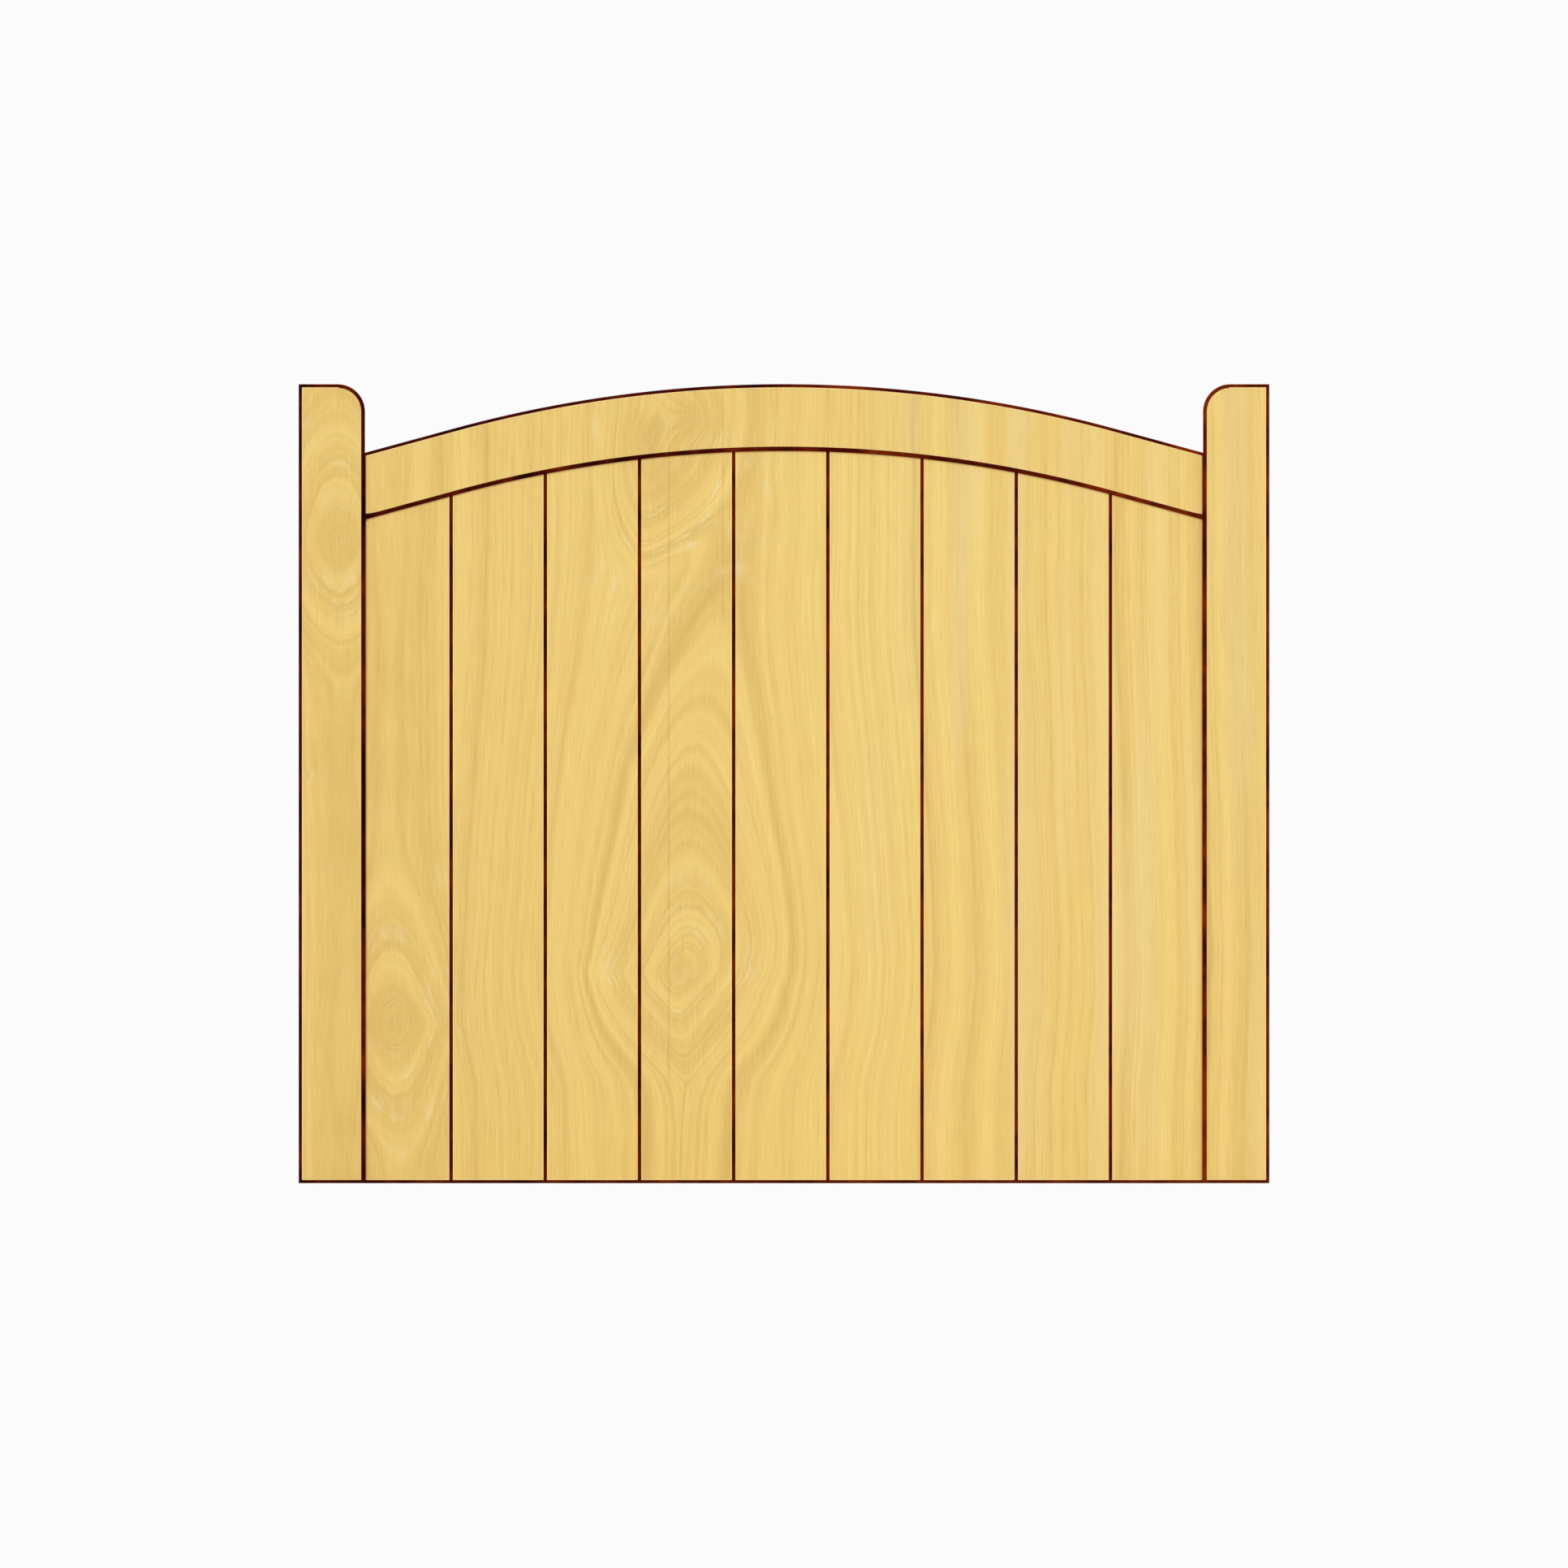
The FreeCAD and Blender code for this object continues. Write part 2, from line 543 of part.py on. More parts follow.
nodes = {
    "top_rail_wedges": top_tenon.wedges(),
    "middle_rail_wedges": middle_tenon.wedges(),
    "bottom_rail_wedges": bottom_tenon.wedges(),
    "middle_rail_screws": placed(board_screw.solid(), middle_spots),
    "bottom_rail_screws": placed(board_screw.solid(), bottom_spots),
    "brace_screws": placed(board_screw.solid(), brace_spots),
    "hinge_screws": placed(hinge_screw.solid(), hinge_spots),
    "bolt_plate": [bolt_plate()],
    "bolt_guides": [bolt_guide(x) for x in (tail_guide, inner_guide, outer_guide)],
    "bolt_rod": [bolt_rod()],
    "bolt_knob": [bolt_knob()],
    "bolt_screws": placed(plate_screw.solid(), plate_spots),
}
for place, centre in hinge_centres.items():
    nodes[place + "_hinge_gate_leaf"] = [gate_leaf(centre)]
    nodes[place + "_hinge_post_leaf"] = [post_leaf(centre)]
    nodes[place + "_hinge_pin"] = [hinge_pin(centre)]
for name, solid in timber.items():
    solid = board_screw.drill(solid, bottom_spots + middle_spots + brace_spots)
    solid = hinge_screw.drill(solid, hinge_spots)
    nodes[name] = [plate_screw.drill(solid, plate_spots)]

os.makedirs("parts", exist_ok=True)
for name, solids in nodes.items():
    shape = solids[0] if len(solids) == 1 else Part.makeCompound(solids)
    shape.exportStep("parts/" + name + ".step")
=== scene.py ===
import math
from collections import namedtuple

import bmesh
import bpy
import numpy as np
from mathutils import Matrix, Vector


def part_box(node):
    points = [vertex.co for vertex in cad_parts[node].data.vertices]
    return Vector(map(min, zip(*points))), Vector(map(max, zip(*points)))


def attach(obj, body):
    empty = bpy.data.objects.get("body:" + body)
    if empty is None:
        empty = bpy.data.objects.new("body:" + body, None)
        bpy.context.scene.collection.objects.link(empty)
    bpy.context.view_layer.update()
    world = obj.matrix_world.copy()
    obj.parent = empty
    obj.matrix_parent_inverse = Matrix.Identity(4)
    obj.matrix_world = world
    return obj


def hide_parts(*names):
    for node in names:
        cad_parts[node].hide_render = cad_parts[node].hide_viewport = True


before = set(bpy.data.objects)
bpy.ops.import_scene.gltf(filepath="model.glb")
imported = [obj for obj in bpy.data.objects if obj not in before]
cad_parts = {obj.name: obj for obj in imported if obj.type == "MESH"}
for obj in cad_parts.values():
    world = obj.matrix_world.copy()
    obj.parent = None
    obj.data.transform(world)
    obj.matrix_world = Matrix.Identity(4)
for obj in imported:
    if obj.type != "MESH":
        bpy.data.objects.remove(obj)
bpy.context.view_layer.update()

# The looks of a bow-top boarded garden gate: planed pine with dark stained arrises, black japanned
# hinges and bolt, zinc screws. The timber is drawn again here as finer surfaces, in mm in the part's
# own frame: X from the hinge side to the latch side, Y from the front to the back, Z up.

MM = 0.001


def cad_span(node):
    """Lowest and highest corner of a CAD node, in mm."""
    low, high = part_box(node)
    return np.array(low) / MM, np.array(high) / MM


# Sizes read from the frame
stile_low, stile_high = cad_span("hinge_stile")
rail_low, _ = cad_span("top_rail")
board_low, board_high = cad_span("board_1")
EDGE = -stile_low[0]
OPENING = -stile_high[0]
STILE_WIDTH = EDGE - OPENING
HEIGHT = stile_high[2]
STILE_FRONT = stile_low[1]
RAIL_FRONT = rail_low[1]
SHOULDER = rail_low[2]
BOARD_FRONT = board_low[1]
BOARD_BACK = board_high[1]
BACK = 0.0
BOARDS = ["board_%d" % number for number in range(1, 10)]
LEDGES = ["middle_rail", "bottom_rail"]

# Sizes that repeat the part's source
BOW_RADIUS = 1545.0
BOW_HALF_CHORD = 406.0
RAIL_DEPTH = 82.0
STILE_TOP_RADIUS = 34.0
FRONT_ARRIS = 4.0
BACK_ARRIS = 2.0
FRONT_VEE = 2.0
BACK_VEE = 1.5
TONGUE_LENGTH = 8.0
TONGUE_THICKNESS = 5.0
TONGUE_CLEARANCE = 0.2
TONGUE_SLACK = 1.0
BOARD_GAP = 0.3
HOUSING_DEPTH = 10.0
GROOVE_DEPTH = 12.0
HOUSING_CLEARANCE = 0.2
TOP_TENON_THICKNESS = 14.0
TOP_TENON_LOW = 20.0
TOP_TENON_HIGH = 70.0
LEDGE_TENON_THICKNESS = 12.0
LEDGE_TENON_SHOULDER = 15.0
TENON_CLEARANCE = 0.1
WEDGE_LENGTH = 45.0
WEDGE_THICKNESS = 4.0
BRACE_WIDTH = 90.0
SCREW_STAGGER = 26.0
SCREW_EDGE = 28.0
SCREW_HEAD = 4.25
SCREW_SHANK = 2.15
SCREW_MARGIN = 8.4

# How much darker than the palest a piece is, in shares of a knot's heart, and how far its bands are calmed
STILE_SHADES = {"hinge_stile": 0.5, "latch_stile": 0.95}
RAIL_SHADE = 0.6
RAIL_CALM = 0.3
BOARD_SHADES = (0.55, 0.4, 0.35, 0.5, 0.25, 0.0, 0.3, 0.5, 0.5)
BOARD_CALMS = (0.0, 0.45, 0.0, 0.0, 0.0, 0.0, 0.3, 0.0, 0.0)

# Spacing of the points on the faces and along the length, finer on the front pieces than behind. Then the
# plain strips and counts of stations that the grids keep beside an edge, the rounds that find a brace's
# end under the bow, and how near two points are taken as one.
FACE_PITCH = 2.4
ROW_PITCH = 4.0
BACK_FACE_PITCH = FACE_PITCH * 1.5
BACK_ROW_PITCH = ROW_PITCH * 2
FACE_MARGIN = 10.0
MARGIN_GAP = 2.0
BORDER_GAP = 1.0
TURN_GAP = 1.0
FOOT_GAP = 4.0
RIM_GAP = 1.0
HEAD_STATIONS = 9
TURN_STATIONS = 15
FOOT_STATIONS = 12
FRONT_COLUMNS = 9
CLIP_ROUNDS = 30
WELD = 0.0002

# Rounding of the arrises and of the hidden corners, and the hollows that the grain leaves in a planed face
ARRIS_SOFT = 0.5
HIDDEN_SOFT = 0.2
RELIEF = 0.09
RELIEF_RING = 13.0
RELIEF_FADE = 7.0

# The part of the grid round a screw that is drawn in to circles, and the offsets of its lines
SINK_REACH = 8.0
SINK_LINES = np.array([1.0, SCREW_SHANK, 3.2, SCREW_HEAD, 6.0, SINK_REACH])
SINK_OFFSETS = np.concatenate([-SINK_LINES[::-1], [0.0], SINK_LINES])

# Which way a face has to look to be a stained arris, an end, or smooth with its neighbour
FORWARD = -0.05
FLAT_FORWARD = -0.93
UPWARD = 0.8
SMOOTH_ANGLE = 28.0
PLANED, SAWN, STAINED = range(3)


def bow(x):
    """Height of the top rail's upper edge: a circle about the crown, carried on along its tangents."""
    reach = np.minimum(np.abs(x), BOW_HALF_CHORD)
    slope = BOW_HALF_CHORD / math.sqrt(BOW_RADIUS ** 2 - BOW_HALF_CHORD ** 2)
    return HEIGHT - BOW_RADIUS + np.sqrt(BOW_RADIUS ** 2 - reach ** 2) - (np.abs(x) - reach) * slope


# Figure of the wood

# A pith is a line up the middle of the log's rings: its places across at some heights, its eyes, how
# round the rings lie below and above its first eye (1 a vee, 2 a round arch) and how close they lie on
# its left and right. An eye is a height where the pith comes close under the face: its depth there, and
# how fast it dives below and above. A knot bends the rings round it: its place, how far it reaches on its
# four sides, how round it is (1 a diamond, 2 an ellipse), how far it lifts the rings, and the size and
# darkness of its heart.
Eye = namedtuple("Eye", "along depth dive_down dive_up")
Pith = namedtuple("Pith", "heights sides eyes below above left right", defaults=(2.0, 2.0, 1.0, 1.0))
Knot = namedtuple("Knot", "across along left right down up power lift heart dark",
                  defaults=(14.0, 14.0, 60.0, 60.0, 1.7, 30.0, 9.0, 1.0))
Figure = namedtuple("Figure", "piths knots")
PITH_BLEND = 7.0
PITH_SWAY_REACH = 120.0
PITH_TURN = 60.0
PITH_VEE_REACH = 105.0
PITH_LEAST_DEPTH = 1.0
PITH_ROUND = 7.0
DEPTH_SHARE = 0.6
KNOT_ROUND = 0.12
KNOT_LENGTH = 1.3
KNOT_CALM = 0.75
RUN_HELD = 0.6
SWIRL_REACH = 3.0


def pin_knot(across, along):
    """A small knot with hardly any bend of the rings round it."""
    return Knot(across, along, 4, 4, 9, 9, 2.0, 6, 3.8, 0.8)


def cloud(across, along, heart, dark):
    """A darker or paler patch near a knot, which lifts no rings."""
    return Knot(across, along, heart, heart, heart, heart, 2.0, 0, heart, dark)


# The boards and the arched rail are matched, as if from one wide log that forks near its top, with a big
# knot low on the fourth board and a pair of knots in the rail above it.
sheet_figure = Figure(
    (Pith((0, 122, 240, 300, 380, 500, 632, 696, 830), (-124, -121, -136, -118, -116, -112, -90, -80, -44),
          (Eye(263, 12, 0.6, 0.42), Eye(263, 38, 0.6, 0.2), Eye(122, 96, 0, 0.6), Eye(500, 124, 9, 0)),
          1.2, 2.0),
     Pith((640, 740, 860, 945), (-182, -177, -170, -160), (Eye(885, 8, 1.02, 0.1),), 1.3, 1.3, 3.0, 1.1)),
    (Knot(-116, 946, 26, 28, 24, 26, 2.0, 72, 32, 1.1), Knot(-177, 927, 24, 22, 30, 28, 1.9, 60, 26, 0.9),
     cloud(-148, 868, 40, 0.9), cloud(-184, 760, 22, -0.5), cloud(-78, 838, 30, -0.6),
     cloud(-130, 785, 24, -0.4),
     Knot(-113, 264, 30, 34, 34, 40, 2.0, 24, 26, 0.4), cloud(-134, 270, 15, 0.8), cloud(-72, 250, 16, -0.5),
     Knot(-224, 262, 24, 60, 42, 52, 1.1, 26, 14, -0.9), Knot(-404, 197, 16, 60, 50, 50, 1.6, 9, 8, 0.0),
     pin_knot(483, 725), pin_knot(240, 262), pin_knot(-16, 575)))
first_board_figure = Figure(
    (Pith((0, 194, 460), (-476, -482, -488), (Eye(194, 12, 0.34, 0.3), Eye(0, 66, 0, 0))),),
    (Knot(-483, 195, 26, 26, 28, 30, 2.0, 20, 44, 1.0), Knot(-412, 197, 50, 16, 34, 34, 1.2, 22, 8, 0.0),
     pin_knot(-446, 480)))
hinge_stile_figure = Figure(
    (Pith((0, 798, 988), (-541, -551, -557), (Eye(798, 12, 0.42, 0.36), Eye(0, 80, 0, 0))),),
    (Knot(-551, 796, 26, 24, 28, 26, 2.0, 20, 44, 1.0), pin_knot(-588, 505)))


def plain_figure(pith, knots):
    """A figure of nearly straight grain about a deep pith."""
    return Figure((Pith((0, 1), (pith, pith), (Eye(0, 62, 0.01, 0.02),)),), knots)


def soft_least(values):
    """The least of several surfaces, with the creases between them rounded: less the blend times the
    logarithm of the sum of their falling exponentials."""
    return -PITH_BLEND * np.log(sum(np.exp(-value / PITH_BLEND) for value in values))


def pith_distance(pith, across, along):
    """Distance from a pith: the power mean of the offset from its line, which sways sideways near itself,
    rounded off at that line, and of its depth under the face, the soft least of the straight dives from
    its eyes. The power is the pith's own near its line and 2 far off, where the rings run straight."""
    depth = soft_least([eye.depth + np.where(along < eye.along, eye.dive_down, eye.dive_up)
                        * np.abs(along - eye.along) for eye in pith.eyes])
    middle = np.mean(pith.sides)
    off = across - middle
    sway = np.interp(along, pith.heights, pith.sides) - middle
    off = off - sway * np.exp(-(off / PITH_SWAY_REACH) ** 2)
    off = np.hypot(np.where(off < 0, off * pith.left, off * pith.right), PITH_ROUND)
    turn = np.clip((along - pith.eyes[0].along) / PITH_TURN + 0.5, 0, 1)
    power = pith.below + (pith.above - pith.below) * turn
    power = 2 + (power - 2) * np.exp(-(off / PITH_VEE_REACH) ** 2)
    return (off ** power + np.maximum(depth, PITH_LEAST_DEPTH) ** power) ** (1 / power)


def knot_distance(knot, across, along):
    """Distance from a knot in its own reaches: the power mean of its sideways and lengthways shares,
    rounded off at the centre."""
    rise, side = along - knot.along, across - knot.across
    share = np.abs(np.where(side < 0, side / knot.left, side / knot.right))
    length = np.abs(np.where(rise < 0, rise / knot.down, rise / knot.up))
    return np.hypot((share ** knot.power + length ** knot.power) ** (1 / knot.power), KNOT_ROUND)


def ring_field(figure, across, along, depth):
    """Growth rings as a length in mm whose level lines are the grain: the soft least distance from the
    piths, less each knot's lift, which falls off as the exponential of its distance, plus a share of the
    depth into the piece."""
    rings = soft_least([pith_distance(pith, across, along) for pith in figure.piths]) + DEPTH_SHARE * depth
    for knot in figure.knots:
        rings = rings - knot.lift * np.exp(-knot_distance(knot, across, along))
    return rings


def knot_fields(figure, across, along):
    """What the knots do to the face, each as a bell curve as wide as the knot's heart: how dark it is,
    how far it calms the broad bands, the place along the grain, held still round a knot so that lines
    run about it, and how far the grain swirls in a wider ring round it."""
    dark, calm, swirl = np.zeros((3, len(across)))
    run = along
    for knot in figure.knots:
        reach = np.hypot(across - knot.across, (along - knot.along) / KNOT_LENGTH) / knot.heart
        bell = np.exp(-reach ** 2)
        dark = dark + knot.dark * bell
        calm = np.maximum(calm, KNOT_CALM * np.clip(knot.dark * 2, 0, 1) * bell)
        run = run + (knot.along - run) * RUN_HELD * bell
        swirl = np.maximum(swirl, np.exp(-(reach / SWIRL_REACH) ** 2))
    return {"heart": dark, "knot": calm, "run": run, "swirl": swirl}


# Outlines and surfaces

def softened(corners, radii):
    """Rounds an outline's corners: each becomes a parabola's start, middle and end, the ends lying
    one radius along the two sides."""
    corners = np.array(corners, float)
    radii = np.broadcast_to(np.array(radii, float), len(corners))[:, None]
    behind = np.roll(corners, 1, 0) - corners
    ahead = np.roll(corners, -1, 0) - corners
    start = corners + radii * behind / np.linalg.norm(behind, axis=1, keepdims=True)
    end = corners + radii * ahead / np.linalg.norm(ahead, axis=1, keepdims=True)
    return np.stack([start, (start + 2 * corners + end) / 4, end], 1).reshape(-1, 2)


def divided(outline, pitch):
    """A closed outline with points added evenly along each side, no further apart than the pitch."""
    ends = np.roll(outline, -1, 0)
    counts = np.maximum(1, np.ceil(np.linalg.norm(ends - outline, axis=1) / pitch)).astype(int)
    sides = [a + (b - a) * np.arange(n)[:, None] / n for a, b, n in zip(outline, ends, counts)]
    return np.concatenate(sides)


def spaced(low, high, pitch, centres=()):
    """Places from low to high at about the pitch, closer round each screw's centre."""
    places = np.linspace(low, high, int((high - low) / pitch) + 2)
    for centre in centres:
        places = places[np.abs(places - centre) > SINK_REACH]
        places = np.concatenate([places, centre + SINK_OFFSETS])
    return np.sort(places)


def countersunk(along, across, depth, on_back, spots):
    """Sinks a cone for each screw head into a flat back. Round a spot, squares of the grid are drawn
    in to circles (a point moves by the ratio of its larger offset to its distance), and inside the
    head's circle the depth falls one for one towards the shank."""
    for spot_along, spot_across in spots:
        dl, dc = along - spot_along, across - spot_across
        square = np.maximum(np.abs(dl), np.abs(dc))
        distance = np.maximum(np.hypot(dl, dc), 1e-9)
        share = np.clip((SINK_REACH - square) / (SINK_REACH - SCREW_HEAD), 0, 1)
        draw = np.where(on_back, 1 + share * (square / distance - 1), 1.0)
        along, across = spot_along + dl * draw, spot_across + dc * draw
        sink = np.clip(SCREW_HEAD - square, 0, SCREW_HEAD - SCREW_SHANK)
        depth = np.where(on_back, depth - sink, depth)
    return along, across, depth


def skin(grid, closed_rows=False, capped=False):
    """Points and faces of a grid whose columns close into a loop, or whose rows do. Points at one
    place become one; a square that loses a corner so becomes a triangle, and one that loses two goes.
    Caps are the first and last rows as faces."""
    rows, columns = grid.shape[:2]
    number = np.arange(rows * columns).reshape(rows, columns)
    if closed_rows:
        looped = np.concatenate([number, number[:1]], 0)
    else:
        looped = np.concatenate([number, number[:, :1]], 1)
    squares = [looped[:-1, :-1], looped[:-1, 1:], looped[1:, 1:], looped[1:, :-1]]
    squares = np.stack(squares, -1).reshape(-1, 4)
    points = grid.reshape(-1, 3)
    places = np.round(points / WELD).astype(np.int64)
    first, welded = np.unique(places, axis=0, return_index=True, return_inverse=True)[1:]
    welded = welded.reshape(-1)
    squares = welded[squares]
    kept = squares != np.roll(squares, -1, 1)
    flat = (squares[:, 0] == squares[:, 2]) | (squares[:, 1] == squares[:, 3])
    corners = np.where(flat, 0, kept.sum(1))
    triangles = squares[corners == 3][kept[corners == 3]].reshape(-1, 3)
    faces = squares[corners == 4].tolist() + triangles.tolist()
    caps = 0
    if capped:
        for row in (number[0], number[-1]):
            loop = welded[row]
            faces.append(loop[loop != np.roll(loop, -1)].tolist())
            caps += 1
    return points[first], faces, caps


# Materials

def linear(hex_colour):
    """An sRGB hex colour as a linear RGBA tuple."""
    parts = [int(hex_colour[i:i + 2], 16) / 255 for i in (1, 3, 5)]
    return tuple(c / 12.92 if c <= 0.04045 else ((c + 0.055) / 1.055) ** 2.4 for c in parts) + (1.0,)


def add(tree, kind, inputs=None, stops=None, cell=None, **settings):
    """Adds a shader node and gives its outputs. Settings are its properties. Inputs are its sockets, each
    set to a value, or linked from a socket or from the first live one of another node's outputs. Stops
    are the places and colours of a colour ramp. Cell is the size of a pattern's cells, in the units of
    its Vector."""
    if cell:
        shrunk = add(tree, "VectorMath", {0: inputs["Vector"], 1: cell}, operation="DIVIDE")
        inputs = dict(inputs, Vector=shrunk, Scale=1.0)
    made = tree.nodes.new("ShaderNode" + kind)
    for name, value in settings.items():
        setattr(made, name, value)
    for name, value in (inputs or {}).items():
        if isinstance(value, type(made.outputs)):
            value = next(socket for socket in value if socket.enabled)
        if isinstance(value, bpy.types.NodeSocket):
            tree.links.new(value, made.inputs[name])
        else:
            made.inputs[name].default_value = value
    if stops:
        ramp = made.color_ramp.elements
        ramp[0].position, ramp[1].position = stops[0][0], stops[-1][0]
        for place, _ in stops[1:-1]:
            ramp.new(place)
        for element, (_, colour) in zip(ramp, stops):
            element.color = linear(colour)
    return made.outputs


def new_material(name):
    """An empty material and its node tree."""
    material = bpy.data.materials.new(name)
    material.use_nodes = True
    material.node_tree.nodes.clear()
    return material, material.node_tree


def surfaced(material, sockets):
    """Gives a material its shader, with these sockets linked or set."""
    tree = material.node_tree
    add(tree, "OutputMaterial", {"Surface": add(tree, "BsdfPrincipled", sockets)})
    return material


# Real sizes in mm that the wood's patterns are drawn from, most of them as a cell across, into and along
# the grain, or across and along a ring. Pine's fibres and pores and the rings inside a knot are finer than
# this, and are drawn as coarse as they need to show. Late wood is a share of a ring.
RING_WIDTH = 9.0
LATE_WOOD = 0.26
RING_PATCH = (16, 170, 1)
BAND_WIDTH = 24.0
LINE = (2.4, 95.0, 1.0)
STREAK = (5.5, 60.0, 1.0)
STREAK_PATCH = (16.0, 16.0, 30.0)
WASHED_ZONE = (34, 34, 700)
FIBRE = (1.7, 1.7, 45.0)
KNOT_RING = 1.5
END_RING = 4.0
END_PORE = (0.9, 0.9, 0.9)
STAIN_SOAK = (60, 60, 80)
STAIN_GRAIN = (1.5, 1.5, 16)

# Places in mm: the pith that the rings of the end grain curve about, where across the gate the washed-out
# zones begin and are full, and the span beside an arris in which a highlight is painted
END_PITH = (-112.0, 62.0, 0.0)
WASHED_FROM = 20.0
WASHED_FULL = 220.0
HIGHLIGHT_FROM = -1.0
HIGHLIGHT_TO = 4.0

# What moves the rings out of their formula: the cell of each pattern, and how far it moves them
Waver = namedtuple("Waver", "cell reach")
SWAY = Waver((110, 110, 260), 10.0)
WOBBLE = Waver((9, 9, 120), 1.8)
GNARL = Waver((12, 12, 16), 9.0)
END_WOBBLE = Waver((12, 12, 1), 3.0)
SWIRL_GNARL = 0.35

# What each pattern adds to the tone of the pine, its ends and the stain, and how the tone changes for each
# mm towards the latch. Streaks are washed out by this share round a knot, and by the least elsewhere.
LATE_WOOD_TONE = -0.13
KNOT_RING_TONE = 0.24
LINE_TONE = 0.28
FIBRE_TONE = 0.46
HEART_TONE = -0.2
LATCH_TONE = 0.00008
LATCH_STAIN_TONE = 0.00014
DARKEST_TONE = 0.36
PALEST_TONE = 1.22
PORE_TONE = 0.35
STAIN_GRAIN_TONE = 0.3
STREAK_SHARE = 0.85
STREAK_LEAST = 0.08

# The oiled pine from deep to pale and washed out, its painted highlight beside an arris, the painted shade
# in its corners, and the stain
PINE_DEEP = "#D6B263"
PINE_MID = "#EAC977"
PINE_PALE = "#F7DB84"
PINE_WASHED = "#EED89C"
PINE_HIGHLIGHT = "#FBE7A8"
CORNER_SHADE = "#8A5A22"
STAIN_DEEP = "#280100"
STAIN_MID = "#520D01"
STAIN_THIN = "#842B03"

# The stain in a corner ends this far from it, and a painted shade further out. Over an inner arris of the
# frame the brush ran a little on to the face, with a sharper edge. The boards' stain is painted paler, a
# painted light that offsets the shade inside their vee joints.
SEAM_STAIN = 0.9
SEAM_BLUR = 0.2
SEAM_SHADE = 3.6
NO_SEAM = 10.0
STAIN_OVERRUN = 0.75
OVERRUN_SHARPNESS = 10.0
BOARD_STAIN_LIFT = 0.09
FRAME_STAIN_LIFT = 0.0

# Drying checks in the matched boards: the place of a check's foot, its sideways bend and its two ends. A
# check is a hairline of this core and edge to either side, and this dark.
Check = namedtuple("Check", "foot bend low high")
CHECKS = Check(-142.5, 0.0, 90.0, 955.0), Check(-75.5, 0.0, 690.0, 985.0), Check(-128.5, 9.0, 1.0, 134.0)
CHECK_CORE = 0.4
CHECK_EDGE = 1.3
CHECK_DARKNESS = "#9A9A9A"


def stain_colour(tree, wood):
    """Colour of the brushed stain: it soaks in unevenly along the length, from red-brown to near black, a
    little deeper towards the hinge side, and painted paler by the piece's stain lift, a painted light that
    offsets the shade in the boards' vee joints."""
    soak = add(tree, "TexNoise", {"Vector": wood, "Detail": 3.0, "Roughness": 0.6}, cell=STAIN_SOAK)
    grain = add(tree, "TexNoise", {"Vector": wood, "Detail": 1.0}, cell=STAIN_GRAIN)
    tone = add(tree, "Math", {0: grain, 1: STAIN_GRAIN_TONE, 2: soak}, operation="MULTIPLY_ADD")
    across = add(tree, "SeparateXYZ", {0: wood})["X"]
    tone = add(tree, "Math", {0: across, 1: LATCH_STAIN_TONE, 2: tone}, operation="MULTIPLY_ADD")
    # Painted light: the stain lift pales the boards' stain against the shade inside their vee joints
    thinned = add(tree, "Attribute", attribute_name="thinned")["Fac"]
    tone = add(tree, "Math", {0: tone, 1: thinned}, operation="ADD")
    return add(tree, "ValToRGB", {"Fac": tone},
               stops=((0.5, STAIN_DEEP), (0.66, STAIN_MID), (0.86, STAIN_THIN)))


